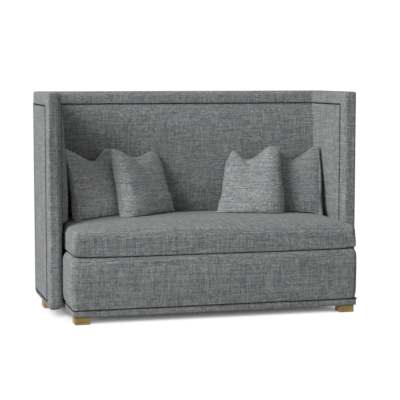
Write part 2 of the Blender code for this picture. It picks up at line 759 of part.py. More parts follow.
def add_wing_cleats(material):
    """Add the batten that carries each wing on the seat's side rail."""
    bottom = FRAME_BOTTOM + BOTTOM_RAIL_HEIGHT - CLEAT_HEIGHT
    for name, side in SIDES.items():
        low = (SEAT_SIDE_OUT + GAP, POST_REAR + GAP, bottom)
        high = (FRAME_IN - GAP, FRAME_REAR - POST_WIDTH, bottom + CLEAT_HEIGHT)
        add_side_box("wing_cleat_" + name, side, low, high, material)


def arch_height(y):
    """Height of the springs' centre line at a depth."""
    middle = (SPRING_FRONT + SPRING_REAR) / 2
    half = (SPRING_REAR - SPRING_FRONT) / 2
    base = SEAT_FRAME_TOP + CLIP_WALL + GAP + WIRE_RADIUS
    return base + SPRING_ARCH * (1.0 - ((y - middle) / half) ** 2)


def spring_route(x_middle):
    """Return the points of one zigzag spring: straight runs joined by half circles."""
    pitch = (SPRING_REAR - SPRING_FRONT) / (SPRING_RUNS - 1)
    bend = pitch / 2
    straight = SPRING_HALF_WIDTH - bend
    route = [(x_middle - straight, SPRING_FRONT)]
    for run in range(SPRING_RUNS - 1):
        side = 1 if run % 2 == 0 else -1
        y = SPRING_FRONT + run * pitch + bend
        for step in range(4):
            turn = -math.pi / 2 + math.pi * step / 3
            route.append((x_middle + side * (straight + bend * math.cos(turn)), y + bend * math.sin(turn)))
    last_side = 1 if (SPRING_RUNS - 1) % 2 == 0 else -1
    route.append((x_middle + last_side * straight, SPRING_REAR))
    return [Vector((x, y, arch_height(y))) for x, y in route]


def wire_shape(route, radius, sides):
    """Return a wire of few sides along a route, mitred at its bends."""
    points = []
    faces = []
    for index, place in enumerate(route):
        before = route[max(index - 1, 0)]
        after = route[min(index + 1, len(route) - 1)]
        into = (place - before).normalized() if index else (after - place).normalized()
        out = (after - place).normalized() if index < len(route) - 1 else into
        along = (into + out).normalized()
        across = along.cross(Vector((0, 0, 1))).normalized()
        upward = across.cross(along).normalized()
        widen = 1.0 / max(into.dot(along), 0.5)
        for side in range(sides):
            turn = 2 * math.pi * (side + 0.5) / sides
            offset = across * math.cos(turn) * widen + upward * math.sin(turn)
            points.append(place + radius * offset)
    for ring in range(len(route) - 1):
        for side in range(sides):
            following = (side + 1) % sides
            low = ring * sides
            faces.append((low + side, low + following, low + sides + following, low + sides + side))
    faces.append(tuple(range(sides)))
    faces.append(tuple(range(len(points) - 1, len(points) - sides - 1, -1)))
    return points, faces


def spring_middles():
    """Return where the springs lie across the seat."""
    return [(index - (SPRING_COUNT - 1) / 2) * SPRING_SPACING for index in range(SPRING_COUNT)]


def clip_shape(x, y, open_towards):
    """Return a folded clip that holds the end run of a spring on its rail."""
    centre = arch_height(y)
    reach = WIRE_RADIUS + GAP
    back = -open_towards
    low = SEAT_FRAME_TOP + CLIP_WALL
    outline = [
        (y + open_towards * reach, SEAT_FRAME_TOP - CLIP_SINK),
        (y + back * (reach + CLIP_WALL), SEAT_FRAME_TOP - CLIP_SINK),
        (y + back * (reach + CLIP_WALL), centre + reach + CLIP_WALL),
        (y + open_towards * reach, centre + reach + CLIP_WALL),
        (y + open_towards * reach, centre + reach),
        (y + back * reach, centre + reach),
        (y + back * reach, low),
        (y + open_towards * reach, low),
    ]
    return prism_shape(outline, 0, x - CLIP_WIDTH / 2, x + CLIP_WIDTH / 2)


def add_suspension(material):
    """Add the zigzag springs, made one by the two wires that tie them across the seat."""
    middles = spring_middles()
    routes = [spring_route(x) for x in middles]
    shape = join_shapes([wire_shape(route, WIRE_RADIUS, WIRE_SIDES) for route in routes])
    springs = add_object("sinuous_springs", *shape, material)
    reach = middles[-1] + SPRING_HALF_WIDTH
    ties = []
    for y in tie_depths():
        z = arch_height(y) + WIRE_RADIUS
        ties.append(wire_shape([Vector((-reach, y, z)), Vector((reach, y, z))], TIE_RADIUS, WIRE_SIDES))
    fuse_with(springs, ties)
    springs.data.shade_smooth()
    springs.data.set_sharp_from_angle(angle=math.radians(65))


def tie_depths():
    """Return the depths of the two tie wires, either side of the springs' middle."""
    middle = (SPRING_FRONT + SPRING_REAR) / 2
    return middle - TIE_OFFSET, middle + TIE_OFFSET


def add_deck(material):
    """Add the deck pad, flat on top and arched underneath to clear the suspension."""
    front = SEAT_RAIL_FRONT + GAP
    rear = BACK_FACE - GAP
    top = SEAM_HEIGHT - GAP / 2
    lift = WIRE_RADIUS + max(TIE_RADIUS, CLIP_WALL + GAP) + GAP
    low = SEAT_FRAME_TOP + GAP
    outline = [(rear, top), (front, top), (front, low), (front + DECK_LIP, low)]
    start = front + DECK_LIP + GAP
    end = rear - DECK_LIP - GAP
    for index in range(DECK_STEPS + 1):
        y = start + (end - start) * index / DECK_STEPS
        held = min(max(y, SPRING_FRONT), SPRING_REAR)
        outline.append((y, arch_height(held) + lift))
    outline += [(rear - DECK_LIP, low), (rear, low)]
    half = SEAT_SIDE_OUT - GAP
    add_object("deck_pad", *prism_shape(outline, 0, -half, half), material)


def cushion_half_width(y):
    """Half the cushion's width at a depth: full in front, drawn in between the wings."""
    return min(HALF_CUSHION, wing_face(y) - CUSHION_CLEARANCE)


def cushion_rise(x, y):
    """Crown of the cushion's top at a place, from 0 at its edges."""
    front = FRONT_LIMIT
    rear = BACK_FACE - CUSHION_CLEARANCE
    across = abs(x) / HALF_CUSHION
    along = abs(2 * within(y, front, rear) - 1)
    return CUSHION_CROWN * (1 - min(across, 1) ** CUSHION_CROWN_POWER) * (1 - along ** CUSHION_CROWN_POWER)


def grid_steps(core, roll):
    """Return steps from -1 to 1 with whole numbers of steps in the core and in each rolled edge."""
    rolled = [ROLL_CORE + (1 - ROLL_CORE) * (index + 1) / roll for index in range(roll)]
    flat = [ROLL_CORE * (2 * index / core - 1) for index in range(core + 1)]
    return [-value for value in reversed(rolled)] + flat + rolled


def roll_point(place, half, radii):
    """Map a point on a cube of side 2 to a box with round edges of unlike radii."""
    core = []
    excess = []
    for value, size, radius in zip(place, half, radii):
        core.append(min(max(value / ROLL_CORE, -1), 1) * (size - radius))
        over = max(abs(value) - ROLL_CORE, 0) / (1 - ROLL_CORE)
        excess.append(math.copysign(over, value))
    direction = Vector(excess).normalized()
    return [start + radius * part for start, radius, part in zip(core, radii, direction)]


def add_cushion(material):
    """Add the bench cushion, with a full crown, rolled edges and ends drawn in by the wings."""
    across, along, upward = (grid_steps(count, CUSHION_ROLL_STEPS) for count in CUSHION_CORE_STEPS)
    bottom = SEAM_HEIGHT + GAP / 2
    rear = BACK_FACE - CUSHION_CLEARANCE
    middle = (FRONT_LIMIT + rear) / 2
    half = (HALF_CUSHION, (rear - FRONT_LIMIT) / 2, CUSHION_END_HEIGHT / 2)
    points = []
    index_of = {}
    for i, a in enumerate(across):
        for j, b in enumerate(along):
            for k, c in enumerate(upward):
                if max(abs(a), abs(b), abs(c)) < 1:
                    continue
                high = c > 0
                radii = (
                    CUSHION_SIDE_ROLL if high else CUSHION_BOTTOM_ROLL,
                    CUSHION_SIDE_ROLL if high else CUSHION_BOTTOM_ROLL,
                    CUSHION_TOP_ROLL if high else CUSHION_BOTTOM_ROLL,
                )
                x, y, z = roll_point((a, b, c), half, radii)
                y += middle
                x *= cushion_half_width(y) / half[0]
                up = (z + half[2]) / (2 * half[2])
                z = bottom + up * (CUSHION_END_HEIGHT + cushion_rise(x, y))
                index_of[i, j, k] = len(points)
                points.append((x, y, z))
    faces = cube_faces(index_of, len(across), len(along), len(upward))
    return add_object("seat_cushion", points, faces, material, 60)


def cube_faces(index_of, nx, ny, nz):
    """Return the faces of a grid on the surface of a box."""
    faces = []
    for i in range(nx - 1):
        for j in range(ny - 1):
            for k in (0, nz - 1):
                corners = ((i, j, k), (i + 1, j, k), (i + 1, j + 1, k), (i, j + 1, k))
                faces.append(tuple(index_of[corner] for corner in corners))
    for i in range(nx - 1):
        for k in range(nz - 1):
            for j in (0, ny - 1):
                corners = ((i, j, k), (i + 1, j, k), (i + 1, j, k + 1), (i, j, k + 1))
                faces.append(tuple(index_of[corner] for corner in corners))
    for j in range(ny - 1):
        for k in range(nz - 1):
            for i in (0, nx - 1):
                corners = ((i, j, k), (i, j + 1, k), (i, j + 1, k + 1), (i, j, k + 1))
                faces.append(tuple(index_of[corner] for corner in corners))
    return faces


def pillow_point(s, t, face, place):
    """Return a point of a knife-edge pillow that stands on its lower edge and faces -Y.

    s and t run from -1 to 1 across and up, and face is -1 in front, 1 behind and 0 on the seam.
    """
    up = (t + 1) / 2
    side = 0 if s < 0 else 1
    away = s - place["chop_at"]
    chop_side = 0 if away < 0 else 1
    spread = math.hypot(away / place["slopes"][chop_side], PILLOW_CHOP_ROUND) - PILLOW_CHOP_ROUND
    dent = max(0.0, 1 - spread / (1 - PILLOW_CHOP_ROUND)) ** PILLOW_CHOP_POWER
    depth = max(place["chop"]) - place["chop"][chop_side] * (1 - dent)
    corner = within(abs(s), PILLOW_SOFT_START, 1.0)
    soft = place["soft"][side] * PILLOW_HEIGHT
    pinch = 1 - place["pinch"][side] * up ** PILLOW_PINCH_POWER
    x = PILLOW_HALF_WIDTH * s * pinch * (1 - PILLOW_DRAWN_IN * (1 - t * t))
    x -= math.copysign(PILLOW_SOFT_DRAW * soft * corner * max(0.0, 4 * up - 3), s)
    z = PILLOW_HEIGHT * (up - depth * up ** 4) - soft * corner ** PILLOW_SOFT_POWER * up ** 4
    ridge = place["fullest"] if face < 0 else 0.0
    across = (s - ridge) / (1 - ridge * s)
    upright = 1 - t ** (PILLOW_FOOT_SQUARENESS if t < 0 else 2)
    body = (max(0.0, 1 - across * across) * upright) ** PILLOW_FULLNESS
    crease = 1 - PILLOW_CREASE * dent * up ** 2
    y = face * (PILLOW_EDGE / 2 + PILLOW_THICKNESS / 2 * body * crease)
    return Vector((x, y, max(z, PILLOW_FLAT)))


def pillow_shape(place):
    """Return a pillow's points and faces, front and back joined by a narrow seam edge."""
    cells = PILLOW_CELLS
    steps = [math.sin(math.pi / 2 * (2 * index / cells - 1)) for index in range(cells + 1)]
    points = []
    faces = []
    for face in (-1, 1):
        start = len(points)
        for t in steps:
            points.extend(pillow_point(s, t, face, place) for s in steps)
        for row in range(cells):
            for column in range(cells):
                corner = start + row * (cells + 1) + column
                faces.append((corner, corner + 1, corner + cells + 2, corner + cells + 1))
    rim = list(range(cells + 1))
    rim += [row * (cells + 1) + cells for row in range(1, cells + 1)]
    rim += [cells * (cells + 1) + column for column in range(cells - 1, -1, -1)]
    rim += [row * (cells + 1) for row in range(cells - 1, 0, -1)]
    behind = (cells + 1) ** 2
    for place in range(len(rim)):
        following = (place + 1) % len(rim)
        faces.append((rim[place], rim[following], rim[following] + behind, rim[place] + behind))
    return points, faces


def room_under(points, faces, support):
    """Return how far a shape can drop before it meets the top of another object."""
    shape = BVHTree.FromPolygons(points, faces)
    mesh = support.data
    ground = [vertex.co.copy() for vertex in mesh.vertices]
    below = BVHTree.FromPolygons(ground, [tuple(face.vertices) for face in mesh.polygons])
    down = Vector((0, 0, -1))
    rooms = []
    for point in points:
        hit = below.ray_cast(point, down)[0]
        if hit is not None:
            rooms.append(point.z - hit.z)
    for point in ground:
        hit = shape.ray_cast(point, -down)[0]
        if hit is not None:
            rooms.append(hit.z - point.z)
    return min(rooms)


def add_pillow(name, place, cushion, material):
    """Add a throw pillow, slumped back and turned, then set down flat on the cushion."""
    points, faces = pillow_shape(place)
    turn = Matrix.Rotation(math.radians(place["turn"]), 3, "Z")
    lean = math.radians(place["lean"])
    shift = Vector((place["across"] * HALF_WIDTH, BACK_FACE - place["out"] * WING_REACH, HEIGHT))
    slumped = [Vector((x, y + z * math.sin(lean), z * math.cos(lean))) for x, y, z in points]
    points = [turn @ point + shift for point in slumped]
    drop = Vector((0, 0, GAP - room_under(points, faces, cushion)))
    points = [point + drop for point in points]
    add_object(name, points, faces, material, 60)


def front_bolt(side):
    """Where a front foot's bolt stands."""
    return side * (HALF_BASE - FOOT_INSET - FOOT_SIZE / 2), BASE_FRONT + PLINTH_THICKNESS / 2


def rear_bolt(side):
    """Where a rear foot's bolt stands."""
    return side * (FRAME_IN + FRAME_OUT) / 2, rear_foot_middle()


def rear_foot_middle():
    """Depth of the middle of the rear feet."""
    return REAR - REAR_FOOT_SETBACK - FOOT_SIZE / 2


def drill(item, centre, bottom, top):
    """Drill a bolt hole straight up."""
    cut_with(item, cylinder_shape(centre, BOLT_RADIUS + GAP, bottom, top, BOLT_SIDES))


def foot_places():
    """Return each foot's name, middle, bolt place and top."""
    places = []
    for name, side in SIDES.items():
        x_front = side * (HALF_BASE - FOOT_INSET - FOOT_SIZE / 2)
        y_front = BASE_FRONT + FOOT_INSET + FOOT_SIZE / 2
        x_rear = side * (HALF_WIDTH - FOOT_INSET - FOOT_SIZE / 2)
        front_top = PLINTH_BOTTOM - GAP
        rear_top = WING_FLOOR_GAP - GAP
        places.append(("foot_front_" + name, (x_front, y_front), front_bolt(side), front_top))
        places.append(("foot_rear_" + name, (x_rear, rear_foot_middle()), rear_bolt(side), rear_top))
    return places


def add_feet(material):
    """Add the block feet, each with the bolt that holds it."""
    half = FOOT_SIZE / 2
    for name, (x, y), bolt, top in foot_places():
        foot = add_box(name, (x - half, y - half, 0.0), (x + half, y + half, top), material)
        round_edges(foot, FOOT_CHAMFER, 1)
        reach = FRAME_BOTTOM if "rear" in name else top + GAP
        fuse_with(foot, [cylinder_shape(bolt, BOLT_RADIUS, top - BOLT_SINK, reach + BOLT_REACH, BOLT_SIDES)])


def add_dust_cover(material):
    """Add the cloth under the seat, lapped on the rails and notched round the front feet."""
    half = HALF_BASE - PLINTH_THICKNESS + DUST_COVER_LAP
    front = BASE_FRONT + PLINTH_THICKNESS - DUST_COVER_LAP
    rear = SEAT_REAR_FRONT + DUST_COVER_LAP
    notch_x = HALF_BASE - FOOT_INSET - FOOT_SIZE - DUST_COVER_LAP
    notch_y = BASE_FRONT + FOOT_INSET + FOOT_SIZE + DUST_COVER_LAP
    outline = [
        (-half, rear), (-half, notch_y), (-notch_x, notch_y), (-notch_x, front),
        (notch_x, front), (notch_x, notch_y), (half, notch_y), (half, rear),
    ]
    top = PLINTH_BOTTOM - GAP
    add_object("dust_cover", *prism_shape(outline, 2, top - DUST_COVER_THICKNESS, top), material)


def mitre(first, second):
    """Return the direction that offsets two meeting runs alike."""
    return (first + second) / (1.0 + first.dot(second))


def trim_shape(corners, outwards, closed=False):
    """Return a low domed strip round corners, whose runs lie on surfaces that face outwards."""
    corners = [Vector(corner) for corner in corners]
    outwards = [Vector(outward).normalized() for outward in outwards]
    runs = len(outwards)
    acrosses = []
    for index, outward in enumerate(outwards):
        along = corners[(index + 1) % len(corners)] - corners[index]
        acrosses.append(along.cross(outward).normalized())
    half = TRIM_WIDTH / 2
    wide = TRIM_SHOULDER_WIDTH * half
    high = TRIM_SHOULDER_HEIGHT * TRIM_HEIGHT
    section = ((-half, 0.0), (half, 0.0), (wide, high), (0.0, TRIM_HEIGHT), (-wide, high))
    count = len(section)
    points = []
    for index, corner in enumerate(corners):
        before = index - 1 if index or closed else 0
        after = min(index, runs - 1)
        across = mitre(acrosses[before], acrosses[after])
        outward = mitre(outwards[before], outwards[after])
        points.extend(corner + across * wide + outward * (GAP + high) for wide, high in section)
    faces = []
    for run in range(runs):
        low = run * count
        high = (run + 1) % len(corners) * count
        for index in range(count):
            following = (index + 1) % count
            faces.append((low + index, high + index, high + following, low + following))
    if not closed:
        faces.append(tuple(range(count)))
        faces.append(tuple(range(len(points) - 1, len(points) - count - 1, -1)))
    return points, faces


def inside_trim_shape():
    """Return the strip up the inside of one wing, along its top, across the back and down the other."""
    run = Vector((WING_FACE_REAR - WING_FACE_FRONT, BACK_FACE - WING_FRONT)).normalized()
    x_front = wing_face(NAIL_IN_FRONT)
    low = SEAM_HEIGHT + TRIM_WIDTH
    corners = [
        (-x_front, NAIL_IN_FRONT, low),
        (-x_front, NAIL_IN_FRONT, NAIL_TOP),
        (-WING_FACE_REAR, BACK_FACE, NAIL_TOP),
        (WING_FACE_REAR, BACK_FACE, NAIL_TOP),
        (x_front, NAIL_IN_FRONT, NAIL_TOP),
        (x_front, NAIL_IN_FRONT, low),
    ]
    left = (run.y, run.x, 0.0)
    right = (-run.y, run.x, 0.0)
    return trim_shape(corners, [left, left, (0, -1, 0), right, right])


def outside_trim_shape(side):
    """Return the strip round the flat cover of a wing's outer face."""
    x = side * HALF_WIDTH
    rear = FRAME_REAR - GAP - TRIM_WIDTH / 2
    corners = [
        (x, NAIL_OUT_FRONT, NAIL_BOTTOM),
        (x, rear, NAIL_BOTTOM),
        (x, rear, NAIL_TOP),
        (x, NAIL_OUT_FRONT, NAIL_TOP),
    ]
    return trim_shape(corners, [(side, 0, 0)] * 4, closed=True)


def base_trim_shape():
    """Return the strip along the top of the plinth, from one wing round the front to the other."""
    rear = WING_FRONT - GAP
    corners = [
        (-HALF_BASE, rear, PLINTH_TOP),
        (-HALF_BASE, BASE_FRONT, PLINTH_TOP),
        (HALF_BASE, BASE_FRONT, PLINTH_TOP),
        (HALF_BASE, rear, PLINTH_TOP),
    ]
    return trim_shape(corners, [(-1, 0, 0), (0, -1, 0), (1, 0, 0)])


def add_trim(material):
    """Add the nailhead trim."""
    add_object("nail_trim_inside", *inside_trim_shape(), material, 50)
    for name, side in SIDES.items():
        add_object("nail_trim_outside_" + name, *outside_trim_shape(side), material, 50)
    add_object("nail_trim_base", *base_trim_shape(), material, 50)


def add_wing_covers(material):
    """Add the padded and flat covers of both wings."""
    for name, side in SIDES.items():
        add_front_border("wing_front_border_" + name, side, material)
        add_top_border("wing_top_border_" + name, side, material)
        add_bottom_border("wing_bottom_border_" + name, side, material)
        add_outside_wing("outside_wing_panel_" + name, side, material)
        add_inside_wing("inside_wing_panel_" + name, side, WING_CROWNS[name], material)


def build():
    """Build the banquette from the frame outwards."""
    clear_scene()
    materials = make_materials()
    tweed = materials["tweed"]
    wood = materials["frame_wood"]
    add_seat_ends(wood)
    add_seat_sides(wood)
    add_back_frame(wood)
    for name, side in SIDES.items():
        add_wing_frame(name, side, wood)
    add_wing_cleats(wood)
    add_suspension(materials["steel"])
    add_deck(materials["deck_cloth"])
    add_dust_cover(materials["dust_cloth"])
    add_plinth(tweed)
    add_base_front(tweed)
    for name, side in SIDES.items():
        add_base_side("base_side_panel_" + name, side, tweed)
    add_wing_covers(tweed)
    add_back_border(tweed)
    add_inside_back(tweed)
    add_outside_back(tweed)
    cushion = add_cushion(tweed)
    for index, place in enumerate(PILLOWS):
        add_pillow("throw_pillow_" + str(index + 1), place, cushion, tweed)
    add_feet(materials["foot_wood"])
    add_trim(materials["nailhead"])


build()
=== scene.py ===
"""Looks of a high-backed upholstered banquette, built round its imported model.

Metres, +Z up. The front faces -Y, and left and right are a viewer's, so left is -X.
"""

import json
import math

import bpy
import bmesh
import numpy as np
from mathutils import Matrix, Vector, noise
from mathutils.bvhtree import BVHTree


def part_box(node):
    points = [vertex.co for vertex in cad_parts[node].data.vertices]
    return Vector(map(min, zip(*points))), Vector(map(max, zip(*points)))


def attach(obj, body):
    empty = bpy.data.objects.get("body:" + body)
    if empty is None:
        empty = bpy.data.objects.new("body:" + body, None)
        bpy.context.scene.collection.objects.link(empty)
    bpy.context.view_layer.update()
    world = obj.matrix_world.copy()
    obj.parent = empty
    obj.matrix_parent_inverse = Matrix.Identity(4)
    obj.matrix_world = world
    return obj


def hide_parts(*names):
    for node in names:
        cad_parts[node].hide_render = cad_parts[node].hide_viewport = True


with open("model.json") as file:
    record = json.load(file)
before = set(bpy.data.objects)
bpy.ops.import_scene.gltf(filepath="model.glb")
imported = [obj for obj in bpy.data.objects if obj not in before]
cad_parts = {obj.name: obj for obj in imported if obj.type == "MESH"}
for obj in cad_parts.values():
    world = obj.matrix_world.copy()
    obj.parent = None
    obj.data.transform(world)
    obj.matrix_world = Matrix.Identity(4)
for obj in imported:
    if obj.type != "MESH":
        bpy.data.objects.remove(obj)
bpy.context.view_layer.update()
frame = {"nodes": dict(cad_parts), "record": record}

SIDES = {"left": -1, "right": 1}
FORWARD = Vector((0, -1, 0))

# Clearance between pieces that touch
GAP = 0.0003

# Planes and lines of the upholstery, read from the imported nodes
REAR_LOW, REAR_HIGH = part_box("outside_back_panel")
HALF_WIDTH = REAR_HIGH.x
HEIGHT = REAR_HIGH.z
REAR = REAR_HIGH.y
FRAME_REAR = REAR_LOW.y
WING_FLOOR_GAP = REAR_LOW.z
OUTER_LOW, OUTER_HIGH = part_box("outside_wing_panel_right")
NAIL_OUT_FRONT = OUTER_LOW.y - GAP
NAIL_BOTTOM = OUTER_LOW.z - GAP / 2
NAIL_TOP = OUTER_HIGH.z + GAP / 2
INNER_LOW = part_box("inside_wing_panel_right")[0]
NAIL_FORWARD = 0.030
NAIL_IN_FRONT = INNER_LOW.y - GAP / 2 - NAIL_FORWARD
SEAM_HEIGHT = INNER_LOW.z - GAP
WING_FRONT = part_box("wing_front_border_right")[0].y
BACK_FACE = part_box("deck_pad")[1].y + GAP
FRAME_OUT = OUTER_LOW.x - GAP
PLINTH_LOW, PLINTH_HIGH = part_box("plinth_front")
HALF_BASE = PLINTH_HIGH.x
BASE_FRONT = PLINTH_LOW.y
PLINTH_TOP = PLINTH_HIGH.z + GAP / 2
CUSHION_LOW, CUSHION_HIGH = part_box("seat_cushion")

# Wings: thickness in front and in the rear corner, roundness of the edges, crown of the inside, slope
# of the front face and the heights that fade it in, and the swell along the inner nail line
WING_THICKNESS = 0.0733
WING_CORNER_THICKNESS = 0.0935
EDGE_RADIUS = 0.0285
OUTER_EDGE_RADIUS = 0.011
INNER_EDGE_RADIUS = {"left": EDGE_RADIUS, "right": 0.021}
WING_CROWN = {"left": 0.058, "right": 0.006}
WING_FRONT_SLOPE = {"left": 0.017, "right": 0.0}
WING_SLOPE_FADE = (0.25, 1.0)
WING_NAIL_BULGE = 0.0065
NAIL_MARGIN = 0.0075

# Covers: thickness, widest grid step, steps round a wing's edge, squareness of the panels' crowns,
# crown of the back, how far from the nails unevenness sets in, and where across a wing, from 0 inside
# to 2 outside, the radius of its edges changes
COVER_THICKNESS = 0.006
GRID_STEP = 0.0125
ARC_STEPS = 10
CROWN_SQUARENESS = 4
BACK_CROWN = 0.025
BACK_END_STRIP = 0.03
RIPPLE_REACH = 0.08
RADIUS_CHANGE = (0.6, 1.4)

# Seat base, with its foot and its top roll as shares of its height
BASE_FRONT_CROWN = 0.008
BASE_SIDE_CROWN = {"left": 0.014, "right": 0.005}
BASE_CORNER_RADIUS = 0.028
BASE_CORNER_REACH = 0.03
BASE_TOP_ROLL = 0.010
BASE_FOOT_SHARE = 0.04
BASE_ROLL_SHARE = 0.86
BASE_RETURN_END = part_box("base_front_panel")[1].y
BASE_SIDE_START, BASE_SIDE_END = (corner.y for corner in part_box("base_side_panel_right"))

# The seam between cushion and base: how far it hangs in front, how deep that reaches, how square it is
SEAM_DROOP = 0.014
SEAM_DROOP_DEPTH = 0.06
SEAM_DROOP_SQUARENESS = 12

# Bench cushion: height of its ends, its crown, and the powers of the crown's curves
CUSHION_END_HEIGHT = 0.137
CUSHION_CROWN = 0.034
CUSHION_ACROSS_POWER = 4
CUSHION_FRONT_POWER = 3
CUSHION_REAR_POWER = 6
CUSHION_SHOULDER = SEAM_HEIGHT + CUSHION_END_HEIGHT

# Heights near the cushion's shoulder between which the wings' nail lines and crowns swell out
BULGE_START = CUSHION_SHOULDER - 0.045
BULGE_END = CUSHION_SHOULDER - 0.015
WING_CROWN_START = CUSHION_SHOULDER + 0.010
WING_CROWN_END = CUSHION_SHOULDER + 0.022

# How much lighter than its base colours the cloth of the furniture is
COVER_TONE = 1.45

# Yarns of the tweed from dark to light, each with its place in the weave
YARNS = (
    (0.18, (0.068, 0.074, 0.079)),
    (0.50, (0.183, 0.190, 0.192)),
    (0.82, (0.362, 0.366, 0.358)),
)

# Throw pillows from left to right. x and y are the lower edge's middle, turn and lean are degrees. The
# top edge is chopped at a place across, from -1 to 1, by a depth below its left and right corners, and
# slopes up over a reach to each side from a rounded bottom. Pairs are for the left and the right side:
# pinch draws the top in, swell widens all but the foot, soft rounds the top corner off and recess
# draws the seam in. fullest is where across the front stands out most, fall is the power of its curve
# to the right of there, and tone lightens the cloth. A little of that lightening is the pillows' own
# lighter cloth. The rest is painted light that stands in for light the pillows lack, and it is greatest
# on pillow 1, which lies in the left wing's shadow.
PILLOW_TABLE = {
    "x": (-0.556, -0.283, 0.330, 0.602),
    "y": (0.1001, 0.0979, 0.0418, 0.1094),
    "turn": (25.6, 26.6, -13.7, -18.7),
    "lean": (20.5, 21.0, 23.0, 18.2),
    "height": (0.430, 0.424, 0.426, 0.411),
    "thickness": (0.134, 0.160, 0.162, 0.134),
    "chop_at": (0.17, -0.02, -0.05, -0.06),
    "chop": ((0.092, 0.080), (0.049, 0.045), (0.066, 0.073), (0.062, 0.086)),
    "slopes": ((1.05, 0.52), (0.90, 1.50), (0.84, 0.70), (0.36, 0.92)),
    "chop_round": (0.03, 0.11, 0.13, 0.06),
    "pinch": ((0.11, 0.11), (0.12, 0.03), (0.23, 0.16), (0.24, 0.15)),
    "swell": ((0.055, 0.0), (-0.015, 0.060), (-0.015, 0.170), (0.0, 0.012)),
    "soft": ((0.004, 0.014), (0.006, 0.034), (0.050, 0.008), (0.052, 0.006)),
    "recess": ((0.0, 0.0), (0.0, 0.0), (0.0, 0.010), (0.0, 0.0)),
    "fullest": (-0.20, -0.58, 0.45, -0.25),
    "fall": (0.46, 0.46, 0.75, 0.46),
    # tone: partly the pillows' own lighter cloth, mostly painted light, greatest on pillow 1 in the wing's
    # shadow
    "tone": (2.35, 1.88, 1.68, 1.48),
}
PILLOWS = [dict(zip(PILLOW_TABLE, values)) for values in zip(*PILLOW_TABLE.values())]
PILLOW_HALF_WIDTH = 0.200
PILLOW_DRAWN_IN = 0.025
PILLOW_FLAT = 0.010
PILLOW_FULLNESS = 0.46
PILLOW_CREASE = 0.34
PILLOW_UNEVEN = 0.10
PILLOW_SINK_REACH = 0.10
PILLOW_SET_DOWN = 0.0005
PILLOW_REST_GAP = 0.0006
PILLOW_WING_GAP = 0.006
PILLOW_SEED_STEP = 3.7
PILLOW_CLOTH_SHIFT = 0.37
PILLOW_CELLS = 46

# Nailheads: spacing, size, rings of their domes, and how far they wander and keep clear
NAIL_PITCH = 0.0100
NAIL_RADIUS = 0.0042
NAIL_HEIGHT = 0.0042
NAIL_RINGS = ((1.0, -0.10), (1.0, 0.10), (0.86, 0.48), (0.55, 0.84))
NAIL_SIDES = 10
NAIL_WANDER = 0.0005
NAIL_CLEARANCE = 0.0005
NAIL_OVER_SEAM = 0.016

# Stained wood of the feet
FOOT_DARK = (0.39, 0.235, 0.067)
FOOT_LIGHT = (0.76, 0.52, 0.175)

# Floor and surroundings: their brightness, and how far and how fast a painted shadow darkens the floor's glow
# near what stands on it
FLOOR_REACH = 60
FLOOR_WHITE = 1.03
FLOOR_SHADE_REACH = 1.0
FLOOR_SHADE_RATE = -7.0
FLOOR_SHADE_SAMPLES = 32
SURROUNDING_LIGHT = 0.25
SURROUNDING_WHITE = 1.05

# Key light: what it faces, the way towards it, its distance, side and power
KEY_AIM = Vector((0.0, 0.0, 0.7))
KEY_DIRECTION = Vector((-0.797, -0.383, 0.466))
KEY_DISTANCE = 12.0
KEY_SIZE = 7.5
KEY_POWER = 1330.0

# Camera at the photograph's place, with its turn in degrees
CAMERA_LENS = 118.13
CAMERA_SENSOR = 36.0
CAMERA_PLACE = (-1.9624, -7.4528, 1.3772)
CAMERA_TURN = (84.476, 0.0, -14.78)


